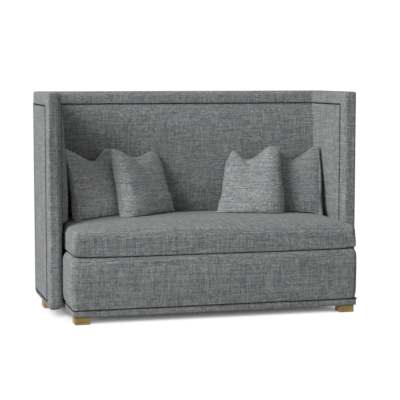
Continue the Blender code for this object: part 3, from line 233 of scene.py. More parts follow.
class Graph:
    """The nodes of one material."""

    def __init__(self, name):
        self.material = bpy.data.materials.new(name)
        self.material.use_nodes = True
        self.tree = self.material.node_tree
        self.shader = self.tree.nodes["Principled BSDF"]
        self.coordinates = self.tree.nodes.new("ShaderNodeTexCoord")
        self.place = self.coordinates.outputs["Object"]

    def wire(self, value, socket):
        """Set a socket to a number or colour, or link an output to it."""
        if isinstance(value, bpy.types.NodeSocket):
            self.tree.links.new(value, socket)
        else:
            socket.default_value = value

    def node(self, kind, *values, **settings):
        """Add a node with its settings and its first inputs, and return its first output."""
        node = self.tree.nodes.new("ShaderNode" + kind)
        for name, setting in settings.items():
            setattr(node, name, setting)
        for value, socket in zip(values, node.inputs):
            self.wire(value, socket)
        return node.outputs[0]

    def maths(self, operation, first, second=0.5, third=0.0):
        """Add one step of arithmetic."""
        return self.node("Math", first, second, third, operation=operation)

    def vectors(self, operation, place, values):
        """Add one step of arithmetic on coordinates, axis by axis."""
        return self.node("VectorMath", place, values, operation=operation)

    def noise(self, place, scale=1.0, detail=2.0, roughness=0.5, distortion=0.0):
        """Return a noise from 0 to 1."""
        node = self.tree.nodes.new("ShaderNodeTexNoise")
        self.wire(place, node.inputs["Vector"])
        node.inputs["Scale"].default_value = scale
        node.inputs["Detail"].default_value = detail
        node.inputs["Roughness"].default_value = roughness
        node.inputs["Distortion"].default_value = distortion
        return node.outputs["Fac"]

    def remap(self, value, low, high, new_low=0.0, new_high=1.0, smooth=True):
        """Return a value remapped from one range to another and held inside it."""
        kind = "SMOOTHSTEP" if smooth else "LINEAR"
        return self.node("MapRange", value, low, high, new_low, new_high, interpolation_type=kind)

    def mix(self, share, first, second):
        """Return a mix of two numbers."""
        node = self.tree.nodes.new("ShaderNodeMix")
        self.wire(share, node.inputs[0])
        self.wire(first, node.inputs[2])
        self.wire(second, node.inputs[3])
        return node.outputs[0]

    def blend(self, share, first, second, way="MIX"):
        """Return a mix of two colours."""
        node = self.tree.nodes.new("ShaderNodeMix")
        node.data_type = "RGBA"
        node.blend_type = way
        self.wire(share, node.inputs[0])
        for value, socket in ((first, node.inputs[6]), (second, node.inputs[7])):
            self.wire(value if isinstance(value, bpy.types.NodeSocket) else (*value, 1.0), socket)
        return node.outputs[2]

    def ramp(self, value, stops):
        """Return a colour from a ramp of (place, colour) stops."""
        node = self.tree.nodes.new("ShaderNodeValToRGB")
        self.wire(value, node.inputs[0])
        elements = node.color_ramp.elements
        while len(elements) < len(stops):
            elements.new(0.5)
        for element, (place, colour) in zip(elements, stops):
            element.position = place
            element.color = (*colour, 1.0)
        return node.outputs[0]

    def finish(self, colour, height=None, depth=0.001, strength=1.0, **settings):
        """Wire the colour, the bump and the shader's own settings, and return the material."""
        self.wire(colour, self.shader.inputs["Base Color"])
        for name, value in settings.items():
            self.wire(value, self.shader.inputs[name.replace("_", " ").title().replace("Ior", "IOR")])
        if height is not None:
            bump = self.tree.nodes.new("ShaderNodeBump")
            bump.inputs["Strength"].default_value = strength
            bump.inputs["Distance"].default_value = depth
            self.wire(height, bump.inputs["Height"])
            self.wire(bump.outputs[0], self.shader.inputs["Normal"])
        return self.material


def tweed(name, tone, shift=0.0):
    """Slubbed linen-like weave: thick and thin yarns both ways, in greys that drift from blue to beige.

    The weave is laid on from three sides by the way the surface faces, so it needs no UVs.
    """
    graph = Graph(name)
    facing = graph.tree.nodes.new("ShaderNodeSeparateXYZ")
    graph.wire(graph.coordinates.outputs["Normal"], facing.inputs[0])
    level = graph.remap(graph.maths("ABSOLUTE", facing.outputs[2]), 0.60, 0.80)
    place = graph.vectors("ADD", graph.place, (shift, 1.7 * shift, 0.6 * shift))

    def woven(fine, long):
        """Return how much yarns drawn out along the weft and the warp stand out, from 0 to 1."""
        spreads = (
            ((1 / long, 1 / long, 1 / fine), (1 / long, 1 / fine, 1 / long)),
            ((1 / fine, 1 / fine, 1 / long), (1 / fine, 1 / long, 1 / long)),
        )
        sets = []
        for upright, flat in spreads:
            on_side = graph.noise(graph.vectors("MULTIPLY", place, upright), 1.0, 2.0, 0.55)
            on_top = graph.noise(graph.vectors("MULTIPLY", place, flat), 1.0, 2.0, 0.55)
            sets.append(graph.remap(graph.mix(level, on_side, on_top), 0.34, 0.66, smooth=False))
        return graph.maths("MULTIPLY", graph.maths("ADD", *sets), 0.5)

    streaks = woven(0.0053, 0.170)
    slubs = woven(0.0043, 0.026)
    threads = woven(0.0020, 0.012)
    patches = graph.noise(place, 7.0, 2.0, 0.5)
    grain = graph.noise(place, 700.0, 2.0, 0.6)
    yarn = graph.maths("MULTIPLY_ADD", streaks, 0.36, graph.maths("MULTIPLY", slubs, 0.40))
    yarn = graph.maths("MULTIPLY_ADD", threads, 0.24, yarn)
    colour = graph.ramp(yarn, [(stop, [part * tone for part in shade]) for stop, shade in YARNS])
    drift = graph.blend(graph.remap(patches, 0.36, 0.64), (0.970, 0.985, 1.0), (1.0, 0.995, 0.975))
    colour = graph.blend(1.0, colour, drift, "MULTIPLY")
    speckled = graph.remap(grain, 0.30, 0.70, 0.84, 1.16, smooth=False)
    colour = graph.blend(1.0, colour, speckled, "MULTIPLY")
    height = graph.maths("MULTIPLY_ADD", yarn, 0.8, graph.maths("MULTIPLY", grain, 0.35))
    return graph.finish(colour, height, 0.0012, 0.55, roughness=0.92, sheen_weight=0.15,
                        sheen_roughness=0.55, specular_ior_level=0.25)


def bronze():
    """Darkened bronze of the nailheads, a little worn on the tops."""
    graph = Graph("nailhead_bronze")
    wear = graph.noise(graph.place, 340.0, 3.0, 0.6)
    colour = graph.ramp(wear, ((0.35, (0.012, 0.011, 0.010)), (0.75, (0.034, 0.030, 0.026))))
    rough = graph.remap(wear, 0.3, 0.7, 0.46, 0.66)
    return graph.finish(colour, wear, 0.0002, 0.3, metallic=0.45, roughness=rough,
                        specular_ior_level=0.35)


def wood(name, dark, light, roughness, grain_axis):
    """Straight-grained timber: rings drawn out along one axis, with pores and slow drifts of tone."""
    graph = Graph(name)
    fine = [46.0, 46.0, 46.0]
    fine[grain_axis] = 3.0
    pores = [520.0, 520.0, 520.0]
    pores[grain_axis] = 16.0
    rings = graph.noise(graph.vectors("MULTIPLY", graph.place, fine), 1.0, 4.0, 0.6, 0.6)
    pore = graph.noise(graph.vectors("MULTIPLY", graph.place, pores), 1.0, 2.0, 0.5)
    drift = graph.noise(graph.place, 6.0, 2.0, 0.5)
    tone = graph.maths("MULTIPLY_ADD", rings, 0.72, graph.maths("MULTIPLY", drift, 0.28))
    middle = [(a + b) / 2 for a, b in zip(dark, light)]
    colour = graph.ramp(tone, ((0.34, dark), (0.50, middle), (0.66, light)))
    shade = graph.remap(pore, 0.30, 0.46, 0.70, 1.0)
    colour = graph.blend(1.0, colour, shade, "MULTIPLY")
    rough = graph.remap(pore, 0.30, 0.55, roughness + 0.2, roughness)
    height = graph.maths("MULTIPLY_ADD", pore, 0.7, rings)
    return graph.finish(colour, height, 0.0004, 0.35, roughness=rough)


def spring_steel():
    """Drawn wire with faint die marks and a dulled film."""
    graph = Graph("spring_steel")
    film = graph.noise(graph.place, 60.0, 3.0, 0.6)
    marks = graph.noise(graph.place, 900.0, 1.0, 0.5)
    colour = graph.ramp(film, ((0.3, (0.20, 0.20, 0.21)), (0.7, (0.42, 0.42, 0.43))))
    rough = graph.remap(film, 0.3, 0.7, 0.28, 0.5)
    return graph.finish(colour, marks, 0.0001, 0.4, metallic=0.95, roughness=rough)


def plain_cloth(name, colour, pitch):
    """Plain close cloth with a fleecy speckle."""
    graph = Graph(name)
    fibres = graph.noise(graph.place, 1 / pitch, 3.0, 0.7)
    drift = graph.noise(graph.place, 12.0, 2.0, 0.5)
    tone = graph.maths("MULTIPLY_ADD", fibres, 0.6, graph.maths("MULTIPLY", drift, 0.4))
    dark = [0.7 * part for part in colour]
    light = [1.3 * part for part in colour]
    shade = graph.ramp(tone, ((0.35, dark), (0.65, light)))
    return graph.finish(shade, fibres, 0.0008, 0.5, roughness=0.95, sheen_weight=0.1)


def evenly(stops, spacing):
    """Return lines through every stop, with even steps between them no wider than the spacing."""
    lines = [stops[0]]
    for start, end in zip(stops, stops[1:]):
        count = max(1, math.ceil((end - start) / spacing - 1e-6))
        lines += [start + (end - start) * index / count for index in range(1, count + 1)]
    return lines


def arc_lines(low, high, radius, stops, spacing, steps=5):
    """Return grid lines for a rounded box along one axis, at even angles round both edges."""
    bends = [radius * math.tan(math.pi / 4 * index / steps) for index in range(1, steps + 1)]
    lines = [low + radius - bend for bend in reversed(bends)]
    lines += evenly([low + radius] + list(stops) + [high - radius], spacing)
    return lines + [high - radius + bend for bend in bends]


def rounded_box(lines, radius, shape, keep=None, high_radius=None):
    """Return points and faces of a box's surface on the given grid lines.

    Its edges are rounded, by high_radius towards high x if that is given. shape(place, rounded) moves a
    point, and keep(middle, side), if given, picks a face by its middle and the side that it is on, such
    as (0, 1) for high x.
    """
    last_radius = radius if high_radius is None else high_radius
    lows = [axis[0] for axis in lines]
    highs = [axis[-1] for axis in lines]
    points = []
    index_of = {}
    faces = []

    def corner(place):
        if place not in index_of:
            flat = [axis[step] for axis, step in zip(lines, place)]
            share = within(2 * within(flat[0], lows[0], highs[0]), *RADIUS_CHANGE)
            bend = radius + (last_radius - radius) * share
            core = [min(max(value, low + bend), high - bend)
                    for value, low, high in zip(flat, lows, highs)]
            out = Vector(flat) - Vector(core)
            rounded = Vector(core) + out.normalized() * bend if out.length > 1e-9 else Vector(flat)
            index_of[place] = len(points)
            points.append(shape(Vector(flat), rounded))
        return index_of[place]

    for axis in range(3):
        first, second = [other for other in range(3) if other != axis]
        for end, step in enumerate((0, len(lines[axis]) - 1)):
            for i in range(len(lines[first]) - 1):
                for j in range(len(lines[second]) - 1):
                    quad = []
                    for a, b in ((i, j), (i + 1, j), (i + 1, j + 1), (i, j + 1)):
                        place = [0, 0, 0]
                        place[axis], place[first], place[second] = step, a, b
                        quad.append(tuple(place))
                    middle = [0.0, 0.0, 0.0]
                    middle[axis] = lines[axis][step]
                    middle[first] = (lines[first][i] + lines[first][i + 1]) / 2
                    middle[second] = (lines[second][j] + lines[second][j + 1]) / 2
                    if keep is None or keep(middle, (axis, end)):
                        faces.append(tuple(corner(place) for place in quad))
    return points, faces


def add_mesh(name, points, faces):
    """Add a mesh object with its faces turned outwards."""
    mesh = bpy.data.meshes.new(name)
    mesh.from_pydata([tuple(point) for point in points], [], faces)
    work = bmesh.new()
    work.from_mesh(mesh)
    bmesh.ops.recalc_face_normals(work, faces=work.faces)
    work.to_mesh(mesh)
    work.free()
    mesh.shade_smooth()
    item = bpy.data.objects.new(name, mesh)
    bpy.context.scene.collection.objects.link(item)
    return item


def dress(item, material, slot, *nodes):
    """Give a finished piece its material, its body, and the nodes that it stands for."""
    item.data.materials.clear()
    item.data.materials.append(material)
    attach(item, "root")
    if nodes:
        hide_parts(*nodes)


def thicken(item, outward):
    """Turn an open cover so that a known face looks outwards, and close it with a lining behind."""
    mesh = item.data
    probe = max(mesh.polygons, key=lambda face: face.center.dot(outward))
    if probe.normal.dot(outward) < 0:
        mesh.flip_normals()
    modifier = item.modifiers.new("lining", "SOLIDIFY")
    modifier.thickness = COVER_THICKNESS
    modifier.offset = -1
    modifier.use_even_offset = False
    apply_modifiers(item)
    item.data.shade_smooth()
    item.data.set_sharp_from_angle(angle=math.radians(50))


def add_cover(name, form, outward, material, *nodes):
    """Add a lined cover from its points and faces."""
    item = add_mesh(name, *form)
    thicken(item, outward)
    dress(item, material, "tweed", *nodes)


def apply_modifiers(item):
    """Replace an object's mesh by what its modifiers make of it."""
    view = bpy.context.evaluated_depsgraph_get()
    result = bpy.data.meshes.new_from_object(item.evaluated_get(view))
    item.modifiers.clear()
    item.data = result


def within(value, low, high):
    """Share of the way from low to high, held between 0 and 1."""
    return min(max((value - low) / (high - low), 0.0), 1.0)


def wing_face(y):
    """Half the room between the wings at a depth, before the crown of their padding."""
    share = within(y, WING_FRONT, BACK_FACE)
    return HALF_WIDTH - WING_THICKNESS - share * (WING_CORNER_THICKNESS - WING_THICKNESS)


def squared_crown(share, squareness):
    """Crown across a panel, from 0 at both edges to 1 along most of its middle."""
    return 1.0 - abs(2.0 * share - 1.0) ** squareness


def sagging_crown(z):
    """Crown up the inside of a wing, fullest just over the cushion and eased in towards its top."""
    up = within(z, CUSHION_SHOULDER, NAIL_TOP - NAIL_MARGIN)
    foot = within(z, WING_CROWN_START, WING_CROWN_END)
    return foot * math.sqrt(1.0 - up * up)


def ripple(place, size, depth):
    """Slow unevenness of stretched cloth over padding."""
    return depth * noise.noise(Vector(place) / size)


def nail_dip(distance, depth=0.0016, reach=0.007):
    """How far the nails pull the cloth in at a distance from their line."""
    return depth * math.exp(-(distance / reach) ** 2)


def wing_bulge(y, z):
    """How far the cloth swells along the inner nail line, above the cushion."""
    depth = within(y, WING_FRONT, NAIL_IN_FRONT) * (1 - within(y, NAIL_IN_FRONT, BACK_FACE))
    return WING_NAIL_BULGE * depth * within(z, BULGE_START, BULGE_END)


def wing_inside(y, z, name):
    """Half the room between the wings at a place, where nothing but the nails pulls the cloth in."""
    crown_start = NAIL_IN_FRONT + NAIL_MARGIN
    across = squared_crown(within(y, crown_start, BACK_FACE), CROWN_SQUARENESS)
    return wing_face(y) - wing_bulge(y, z) - WING_CROWN[name] * across * sagging_crown(z)


def add_wing(name, side, material):
    """Cover one wing: a border round its edges, a flat outside panel and a swelling inside panel."""
    rear = FRAME_REAR - GAP
    past = rear + 3 * EDGE_RADIUS
    depths = [NAIL_IN_FRONT, NAIL_OUT_FRONT, rear]
    heights = [NAIL_BOTTOM, SEAM_HEIGHT + GAP, NAIL_TOP]
    lines = (
        arc_lines(0.0, WING_THICKNESS, EDGE_RADIUS, [], GRID_STEP, ARC_STEPS),
        arc_lines(WING_FRONT, past, EDGE_RADIUS, depths, GRID_STEP, ARC_STEPS),
        arc_lines(WING_FLOOR_GAP, HEIGHT, EDGE_RADIUS, heights, GRID_STEP, ARC_STEPS),
    )

    def region(middle, face):
        _, y, z = middle
        if y > rear:
            return None
        if face == (0, 1) and y > NAIL_OUT_FRONT and NAIL_BOTTOM < z < NAIL_TOP:
            return "outside"
        if face == (0, 0) and y > NAIL_IN_FRONT and z < NAIL_TOP:
            if z > SEAM_HEIGHT:
                return "inside"
            return "border" if z < NAIL_BOTTOM else None
        return "border"

    def shape(flat, rounded):
        x, y, z = rounded
        outwards = x / WING_THICKNESS
        near_front = within(y, NAIL_IN_FRONT, WING_FRONT + EDGE_RADIUS)
        y += WING_FRONT_SLOPE[name] * (1 - outwards) * near_front * within(z, *WING_SLOPE_FADE)
        inside = y > NAIL_IN_FRONT and z < NAIL_TOP
        face_x = wing_face(y) - wing_bulge(y, z)
        wide = face_x + outwards * (HALF_WIDTH - face_x)
        inner_end = BACK_FACE + (FRAME_REAR - BACK_FACE) * within(wide, wing_face(BACK_FACE), FRAME_OUT)
        start = NAIL_OUT_FRONT
        if y > start and z > NAIL_TOP - EDGE_RADIUS or outwards < 0.5 and y > start:
            y = start + (y - start) * (inner_end - start) / (FRAME_REAR - start)
            wide = wing_face(y) + outwards * (HALF_WIDTH - wing_face(y))
        if flat.x < GAP:
            line = min(abs(y - NAIL_IN_FRONT) if z < NAIL_TOP + 0.01 else 1.0,
                       abs(z - NAIL_TOP) if y > NAIL_IN_FRONT - 0.01 else 1.0)
            wide += nail_dip(line)
            if inside:
                wide -= face_x - wing_inside(y, z, name)
                uneven = ripple((side * 3.1, y, z), 0.16, 0.003)
                wide += uneven * within(y, NAIL_IN_FRONT, NAIL_IN_FRONT + RIPPLE_REACH)
        elif flat.x > WING_THICKNESS - GAP:
            line = min(abs(y - NAIL_OUT_FRONT) if NAIL_BOTTOM < z < NAIL_TOP else 1.0,
                       abs(z - NAIL_TOP) if y > NAIL_OUT_FRONT else 1.0,
                       abs(z - NAIL_BOTTOM) if y > NAIL_OUT_FRONT else 1.0)
            wide -= nail_dip(line, 0.0012)
        return Vector((side * wide, y, z))

    plans = (
        ("border", "wing_border_" + name, FORWARD,
         ("wing_front_border_" + name, "wing_top_border_" + name, "wing_bottom_border_" + name)),
        ("outside", "wing_outside_cover_" + name, Vector((side, 0, 0)), ("outside_wing_panel_" + name,)),
        ("inside", "wing_inside_cover_" + name, Vector((-side, 0, 0)), ("inside_wing_panel_" + name,)),
    )
    for part, piece, outward, nodes in plans:
        def kept(middle, face):
            return region(middle, face) == part

        form = rounded_box(lines, INNER_EDGE_RADIUS[name], shape, kept, OUTER_EDGE_RADIUS)
        add_cover(piece, form, outward, material, *nodes)


def add_back(material):
    """Cover the back: a swelling inside panel, a border over its top edge and a plain rear cover."""
    rear = FRAME_REAR - GAP
    half = wing_face(BACK_FACE)
    crown_top = NAIL_TOP - NAIL_MARGIN
    across = evenly([-half, -half + BACK_END_STRIP, half - BACK_END_STRIP, half], GRID_STEP)
    heights = evenly([SEAM_HEIGHT + GAP, CUSHION_SHOULDER, crown_top, NAIL_TOP], GRID_STEP)
    points = []
    for z in heights:
        rise = squared_crown(within(z, CUSHION_SHOULDER, crown_top), CROWN_SQUARENESS)
        for x in across:
            y = BACK_FACE - BACK_CROWN * rise
            y += ripple((x, 5.0, z), 0.22, 0.003) * rise + nail_dip(abs(z - NAIL_TOP))
            points.append((x, y, z))
    form = points, grid_faces(len(heights), len(across))
    add_cover("back_inside_cover", form, FORWARD, material, "inside_back_panel")

    low = NAIL_TOP - 3 * EDGE_RADIUS
    lines = (
        arc_lines(-half - EDGE_RADIUS, half + EDGE_RADIUS, EDGE_RADIUS, [], 0.02, 1),
        arc_lines(BACK_FACE, rear + 3 * EDGE_RADIUS, EDGE_RADIUS, [rear], GRID_STEP),
        arc_lines(low, HEIGHT, EDGE_RADIUS, [NAIL_TOP], GRID_STEP),
    )

    def kept(middle, face):
        x, y, z = middle
        return face in ((1, 0), (2, 1)) and abs(x) < half and y < rear and z > NAIL_TOP

    def shape(flat, rounded):
        _, y, z = rounded
        end = half + (FRAME_OUT - half) * within(y, BACK_FACE, FRAME_REAR)
        if flat.y < BACK_FACE + GAP:
            y += nail_dip(abs(z - NAIL_TOP))
        return Vector((flat.x * end / half, y, z))

    form = rounded_box(lines, EDGE_RADIUS, shape, kept)
    add_cover("back_top_cover", form, FORWARD, material, "back_top_border")

    radius = (REAR - FRAME_REAR) * 0.49
    sides = [-HALF_WIDTH + EDGE_RADIUS, HALF_WIDTH - EDGE_RADIUS]
    ends = [WING_FLOOR_GAP + EDGE_RADIUS, HEIGHT - EDGE_RADIUS]
    lines = (
        arc_lines(-HALF_WIDTH, HALF_WIDTH, radius, sides, 2 * GRID_STEP, 4),
        arc_lines(FRAME_REAR, REAR, radius, [], 2 * GRID_STEP, 4),
        arc_lines(WING_FLOOR_GAP, HEIGHT, radius, ends, 2 * GRID_STEP, 4),
    )
    middle_z = (WING_FLOOR_GAP + HEIGHT) / 2
    half_z = (HEIGHT - WING_FLOOR_GAP) / 2

    def cover(flat, rounded):
        x, y, z = rounded
        over_x = within(abs(x), HALF_WIDTH - EDGE_RADIUS, HALF_WIDTH)
        over_z = within(abs(z - middle_z), half_z - EDGE_RADIUS, half_z)
        if over_x > 0 and over_z > 0:
            pull = max(over_x, over_z) / math.hypot(over_x, over_z)
            x = math.copysign(HALF_WIDTH - EDGE_RADIUS + EDGE_RADIUS * over_x * pull, x)
            z = middle_z + math.copysign(half_z - EDGE_RADIUS + EDGE_RADIUS * over_z * pull, z - middle_z)
        if flat.y > REAR - GAP:
            y -= abs(ripple((x, 9.0, z), 0.25, 0.002))
        return Vector((x, y, z))

    item = add_mesh("back_rear_cover", *rounded_box(lines, radius, cover))
    item.data.set_sharp_from_angle(angle=math.radians(60))
    dress(item, material, "tweed", "outside_back_panel")


def grid_faces(rows, columns):
    """Return the faces of a grid of points, row by row."""
    faces = []
    for row in range(rows - 1):
        for column in range(columns - 1):
            start = row * columns + column
            faces.append((start, start + 1, start + columns + 1, start + columns))
    return faces


def base_profile(share):
    """Return how far the base's padding stands out, as shares of its two crowns and of its top roll."""
    place = abs(2.0 * within(share, BASE_FOOT_SHARE, 1.0) - 1.0)
    crown = 1.0 - place ** 2.5
    full = 1.0 - place ** 8
    roll = max(0.0, (share - BASE_ROLL_SHARE) / (1 - BASE_ROLL_SHARE)) ** 2.2
    return crown, full, roll


def base_route(half, front, back, radius):
    """Return the line round the base in plan, from its left rear end to its right rear end."""
    side_steps, corner_steps, front_steps = 6, 8, 120
    depth = front + radius - back
    left = [(-half, back + depth * index / side_steps) for index in range(side_steps + 1)]
    for index in range(1, corner_steps + 1):
        turn = math.pi + math.pi / 2 * index / corner_steps
        left.append((-half + radius + radius * math.cos(turn), front + radius + radius * math.sin(turn)))
    flat = half - radius
    middle = [(-flat + 2 * flat * index / front_steps, front) for index in range(1, front_steps)]
    return left + middle + [(-x, y) for x, y in reversed(left)]


def seam_droop(x, y):
    """How far the seam between the cushion and the base hangs along the front."""
    across = min(abs(x) / CUSHION_HIGH.x, 1.0)
    inwards = within(y, CUSHION_LOW.y, CUSHION_LOW.y + SEAM_DROOP_DEPTH)
    return SEAM_DROOP * (1 - across ** SEAM_DROOP_SQUARENESS) * (1 - inwards) ** 2


def add_base(material):
    """Cover the seat base: a front that returns round both corners, and a side at each end."""
    bottom = PLINTH_TOP + GAP / 2
    top = SEAM_HEIGHT - GAP / 2
    shares = evenly([0.0, BASE_FOOT_SHARE, BASE_ROLL_SHARE, 1.0], 0.035)
    rows = []
    for share in shares:
        crown, full, roll = base_profile(share)
        front = BASE_FRONT - BASE_FRONT_CROWN * crown + BASE_TOP_ROLL * roll
        half = HALF_BASE - BASE_TOP_ROLL * roll
        row = []
        for x, y in base_route(half, front, BASE_RETURN_END, BASE_CORNER_RADIUS):
            z = bottom + share * (top - bottom) - seam_droop(x, y) * share ** 8
            side_crown = BASE_SIDE_CROWN["left" if x < 0 else "right"] * full
            x += math.copysign(side_crown * within(abs(x), 0.9 * half, half), x)
            soft = ripple((x, y * 2, z), 0.12, 0.0022) * crown
            soft += ripple((x, y * 2, z * 0.4), 0.035, 0.0012) * crown
            outward = FORWARD
            if abs(x) > half - BASE_CORNER_REACH:
                outward = Vector((x / half, (y - BASE_FRONT - 0.2), 0)).normalized()
            row.append((x + outward.x * soft, y + outward.y * soft, z))
        rows.append(row)
    points = [point for row in rows for point in row]
    form = points, grid_faces(len(rows), len(rows[0]))
    add_cover("base_front_cover", form, FORWARD, material, "base_front_panel")

    for name, side in SIDES.items():
        depths = evenly([BASE_SIDE_START, BASE_SIDE_END], 0.014)
        points = []
        for share in shares:
            crown, full, roll = base_profile(share)
            z = bottom + share * (top - bottom)
            half = HALF_BASE + BASE_SIDE_CROWN[name] * full - BASE_TOP_ROLL * roll
            points += [(side * (half + ripple((side, y, z), 0.1, 0.0015) * crown), y, z) for y in depths]
        form = points, grid_faces(len(shares), len(depths))
        outward = Vector((side, 0, 0))
        add_cover("base_side_cover_" + name, form, outward, material, "base_side_panel_" + name)


def add_plinth(material):
    """Cover the rails of the plinth with cloth drawn over softened edges."""
    radius = 0.005
    for node in ("plinth_front", "plinth_left", "plinth_right"):
        low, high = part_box(node)
        lines = [arc_lines(low[axis], high[axis], radius, [], 0.015, 3) for axis in range(3)]

        def shape(flat, rounded):
            sink = abs(ripple(flat, 0.05, 0.0008))
            middle = (low + high) / 2
            return rounded + Vector((0, math.copysign(sink, middle.y - rounded.y), 0))

        item = add_mesh(node + "_cover", *rounded_box(lines, radius, shape))
        dress(item, material, "tweed", node)


def nail_shape(place, outward, along, size):
    """Return the points and faces of one domed nailhead."""
    across = outward.cross(along).normalized()
    along = across.cross(outward).normalized()
    sides = NAIL_SIDES
    points = []
    for wide, high in NAIL_RINGS:
        for step in range(sides):
            turn = 2 * math.pi * step / sides
            flat = along * math.cos(turn) + across * math.sin(turn)
            points.append(place + flat * wide * size + outward * high * NAIL_HEIGHT)
    points.append(place + outward * NAIL_HEIGHT)
    faces = [tuple(range(sides))]
    for ring in range(len(NAIL_RINGS) - 1):
        for step in range(sides):
            following = (step + 1) % sides
            low = ring * sides
            faces.append((low + step, low + following, low + sides + following, low + sides + step))
    last = (len(NAIL_RINGS) - 1) * sides
    faces += [(last + step, last + (step + 1) % sides, len(points) - 1) for step in range(sides)]
    return points, faces


def add_nails(name, corners, outwards, material, node, closed=False):
    """Set domed nailheads head to head along a line of runs, as one piece."""
    corners = [Vector(corner) for corner in corners]
    if closed:
        corners.append(corners[0])
    points = []
    faces = []
    for run, outward in enumerate(outwards):
        outward = Vector(outward).normalized()
        start, end = corners[run], corners[run + 1]
        count = max(1, round((end - start).length / NAIL_PITCH))
        first_nail = 0 if run == 0 or closed else 1
        last_nail = count - 1 if closed else count
        for index in range(first_nail, last_nail + 1):
            along = (end - start).normalized()
            wander = Vector((noise.noise(start * 90 + Vector((index, 1.3, run))),
                             noise.noise(start * 90 + Vector((index, 7.1, run))), 0)) * NAIL_WANDER
            place = start + (end - start) * index / count + along * wander.x + outward.cross(along) * wander.y
            shape_points, shape_faces = nail_shape(place, outward, along, NAIL_RADIUS)
            first = len(points)
            points += shape_points
            faces += [tuple(first + corner for corner in face) for face in shape_faces]
    item = add_mesh(name, points, faces)
    item.data.set_sharp_from_angle(angle=math.radians(55))
    dress(item, material, "nailhead", node)


def add_all_nails(material):
    """Set the four lines of nails where the covers meet."""
    run = Vector((wing_face(BACK_FACE) - wing_face(WING_FRONT), BACK_FACE - WING_FRONT)).normalized()
    left = (run.y, run.x, 0.0)
    right = (-run.y, run.x, 0.0)
    x_front = wing_face(NAIL_IN_FRONT) - WING_NAIL_BULGE
    half = wing_face(BACK_FACE)
    x_low = wing_face(NAIL_IN_FRONT)
    rising = [
        (x_low, NAIL_IN_FRONT, SEAM_HEIGHT + NAIL_OVER_SEAM), (x_low, NAIL_IN_FRONT, BULGE_START),
        (x_front, NAIL_IN_FRONT, BULGE_END), (x_front, NAIL_IN_FRONT, NAIL_TOP),
        (half, BACK_FACE, NAIL_TOP),
    ]
    add_nails("nails_inside", [(-x, y, z) for x, y, z in rising] + rising[::-1],
              [left] * 4 + [(0, -1, 0)] + [right] * 4, material, "nail_trim_inside")
    rear = FRAME_REAR - GAP - NAIL_RADIUS - NAIL_CLEARANCE
    for name, side in SIDES.items():
        x = side * HALF_WIDTH
        add_nails("nails_outside_" + name, [
            (x, NAIL_OUT_FRONT, NAIL_BOTTOM), (x, rear, NAIL_BOTTOM),
            (x, rear, NAIL_TOP), (x, NAIL_OUT_FRONT, NAIL_TOP),
        ], [(side, 0, 0)] * 4, material, "nail_trim_outside_" + name, closed=True)
    end = WING_FRONT - NAIL_RADIUS
    add_nails("nails_base", [
        (-HALF_BASE, end, PLINTH_TOP), (-HALF_BASE, BASE_FRONT, PLINTH_TOP),
        (HALF_BASE, BASE_FRONT, PLINTH_TOP), (HALF_BASE, end, PLINTH_TOP),
    ], [(-1, 0, 0), (0, -1, 0), (1, 0, 0)], material, "nail_trim_base")


def simulate(item, pressure, frames, cap, tension, bending, growth=0.0):
    """Let cloth swell under pressure, hold how far each point may move, and keep the result."""
    scene = bpy.context.scene
    start = np.array([vertex.co for vertex in item.data.vertices])
    modifier = item.modifiers.new("swell", "CLOTH")
    settings = modifier.settings
    settings.quality = 5
    settings.mass = 0.3
    settings.tension_stiffness = tension
    settings.compression_stiffness = tension
    settings.shear_stiffness = 5.0
    settings.bending_stiffness = bending
    settings.use_pressure = True
    settings.uniform_pressure_force = pressure
    settings.effector_weights.gravity = 0.0
    modifier.collision_settings.use_collision = False
    settings.shrink_min = -growth
    modifier.point_cache.frame_start = 1
    modifier.point_cache.frame_end = frames
    for step in range(1, frames + 1):
        scene.frame_set(step)
    view = bpy.context.evaluated_depsgraph_get()
    swollen = item.evaluated_get(view).to_mesh()
    end = np.array([vertex.co for vertex in swollen.vertices])
    item.evaluated_get(view).to_mesh_clear()
    item.modifiers.clear()
    scene.frame_set(1)
    move = end - start
    length = np.linalg.norm(move, axis=1, keepdims=True)
    move *= np.minimum(1.0, cap / np.maximum(length, 1e-9))
    item.data.vertices.foreach_set("co", (start + move).astype(np.float32).ravel())
    item.data.update()


def relax(item):
    """Even out a mesh a little."""
    work = bmesh.new()
    work.from_mesh(item.data)
    bmesh.ops.smooth_vert(work, verts=work.verts, factor=0.5,
                          use_axis_x=True, use_axis_y=True, use_axis_z=True)
    work.to_mesh(item.data)
    work.free()


def subdivide(item):
    """Add and apply one smooth subdivision."""
    modifier = item.modifiers.new("smooth", "SUBSURF")
    modifier.levels = 1
    modifier.render_levels = 1
    apply_modifiers(item)
    item.data.shade_smooth()


def cushion_rise(x, y):
    """Crown of the cushion's top at a place, from 0 at its edges."""
    across = min(abs(x) / CUSHION_HIGH.x, 1)
    along = 2 * within(y, CUSHION_LOW.y, CUSHION_HIGH.y) - 1
    power = CUSHION_REAR_POWER if along > 0 else CUSHION_FRONT_POWER
    return CUSHION_CROWN * (1 - across ** CUSHION_ACROSS_POWER) * (1 - abs(along) ** power)


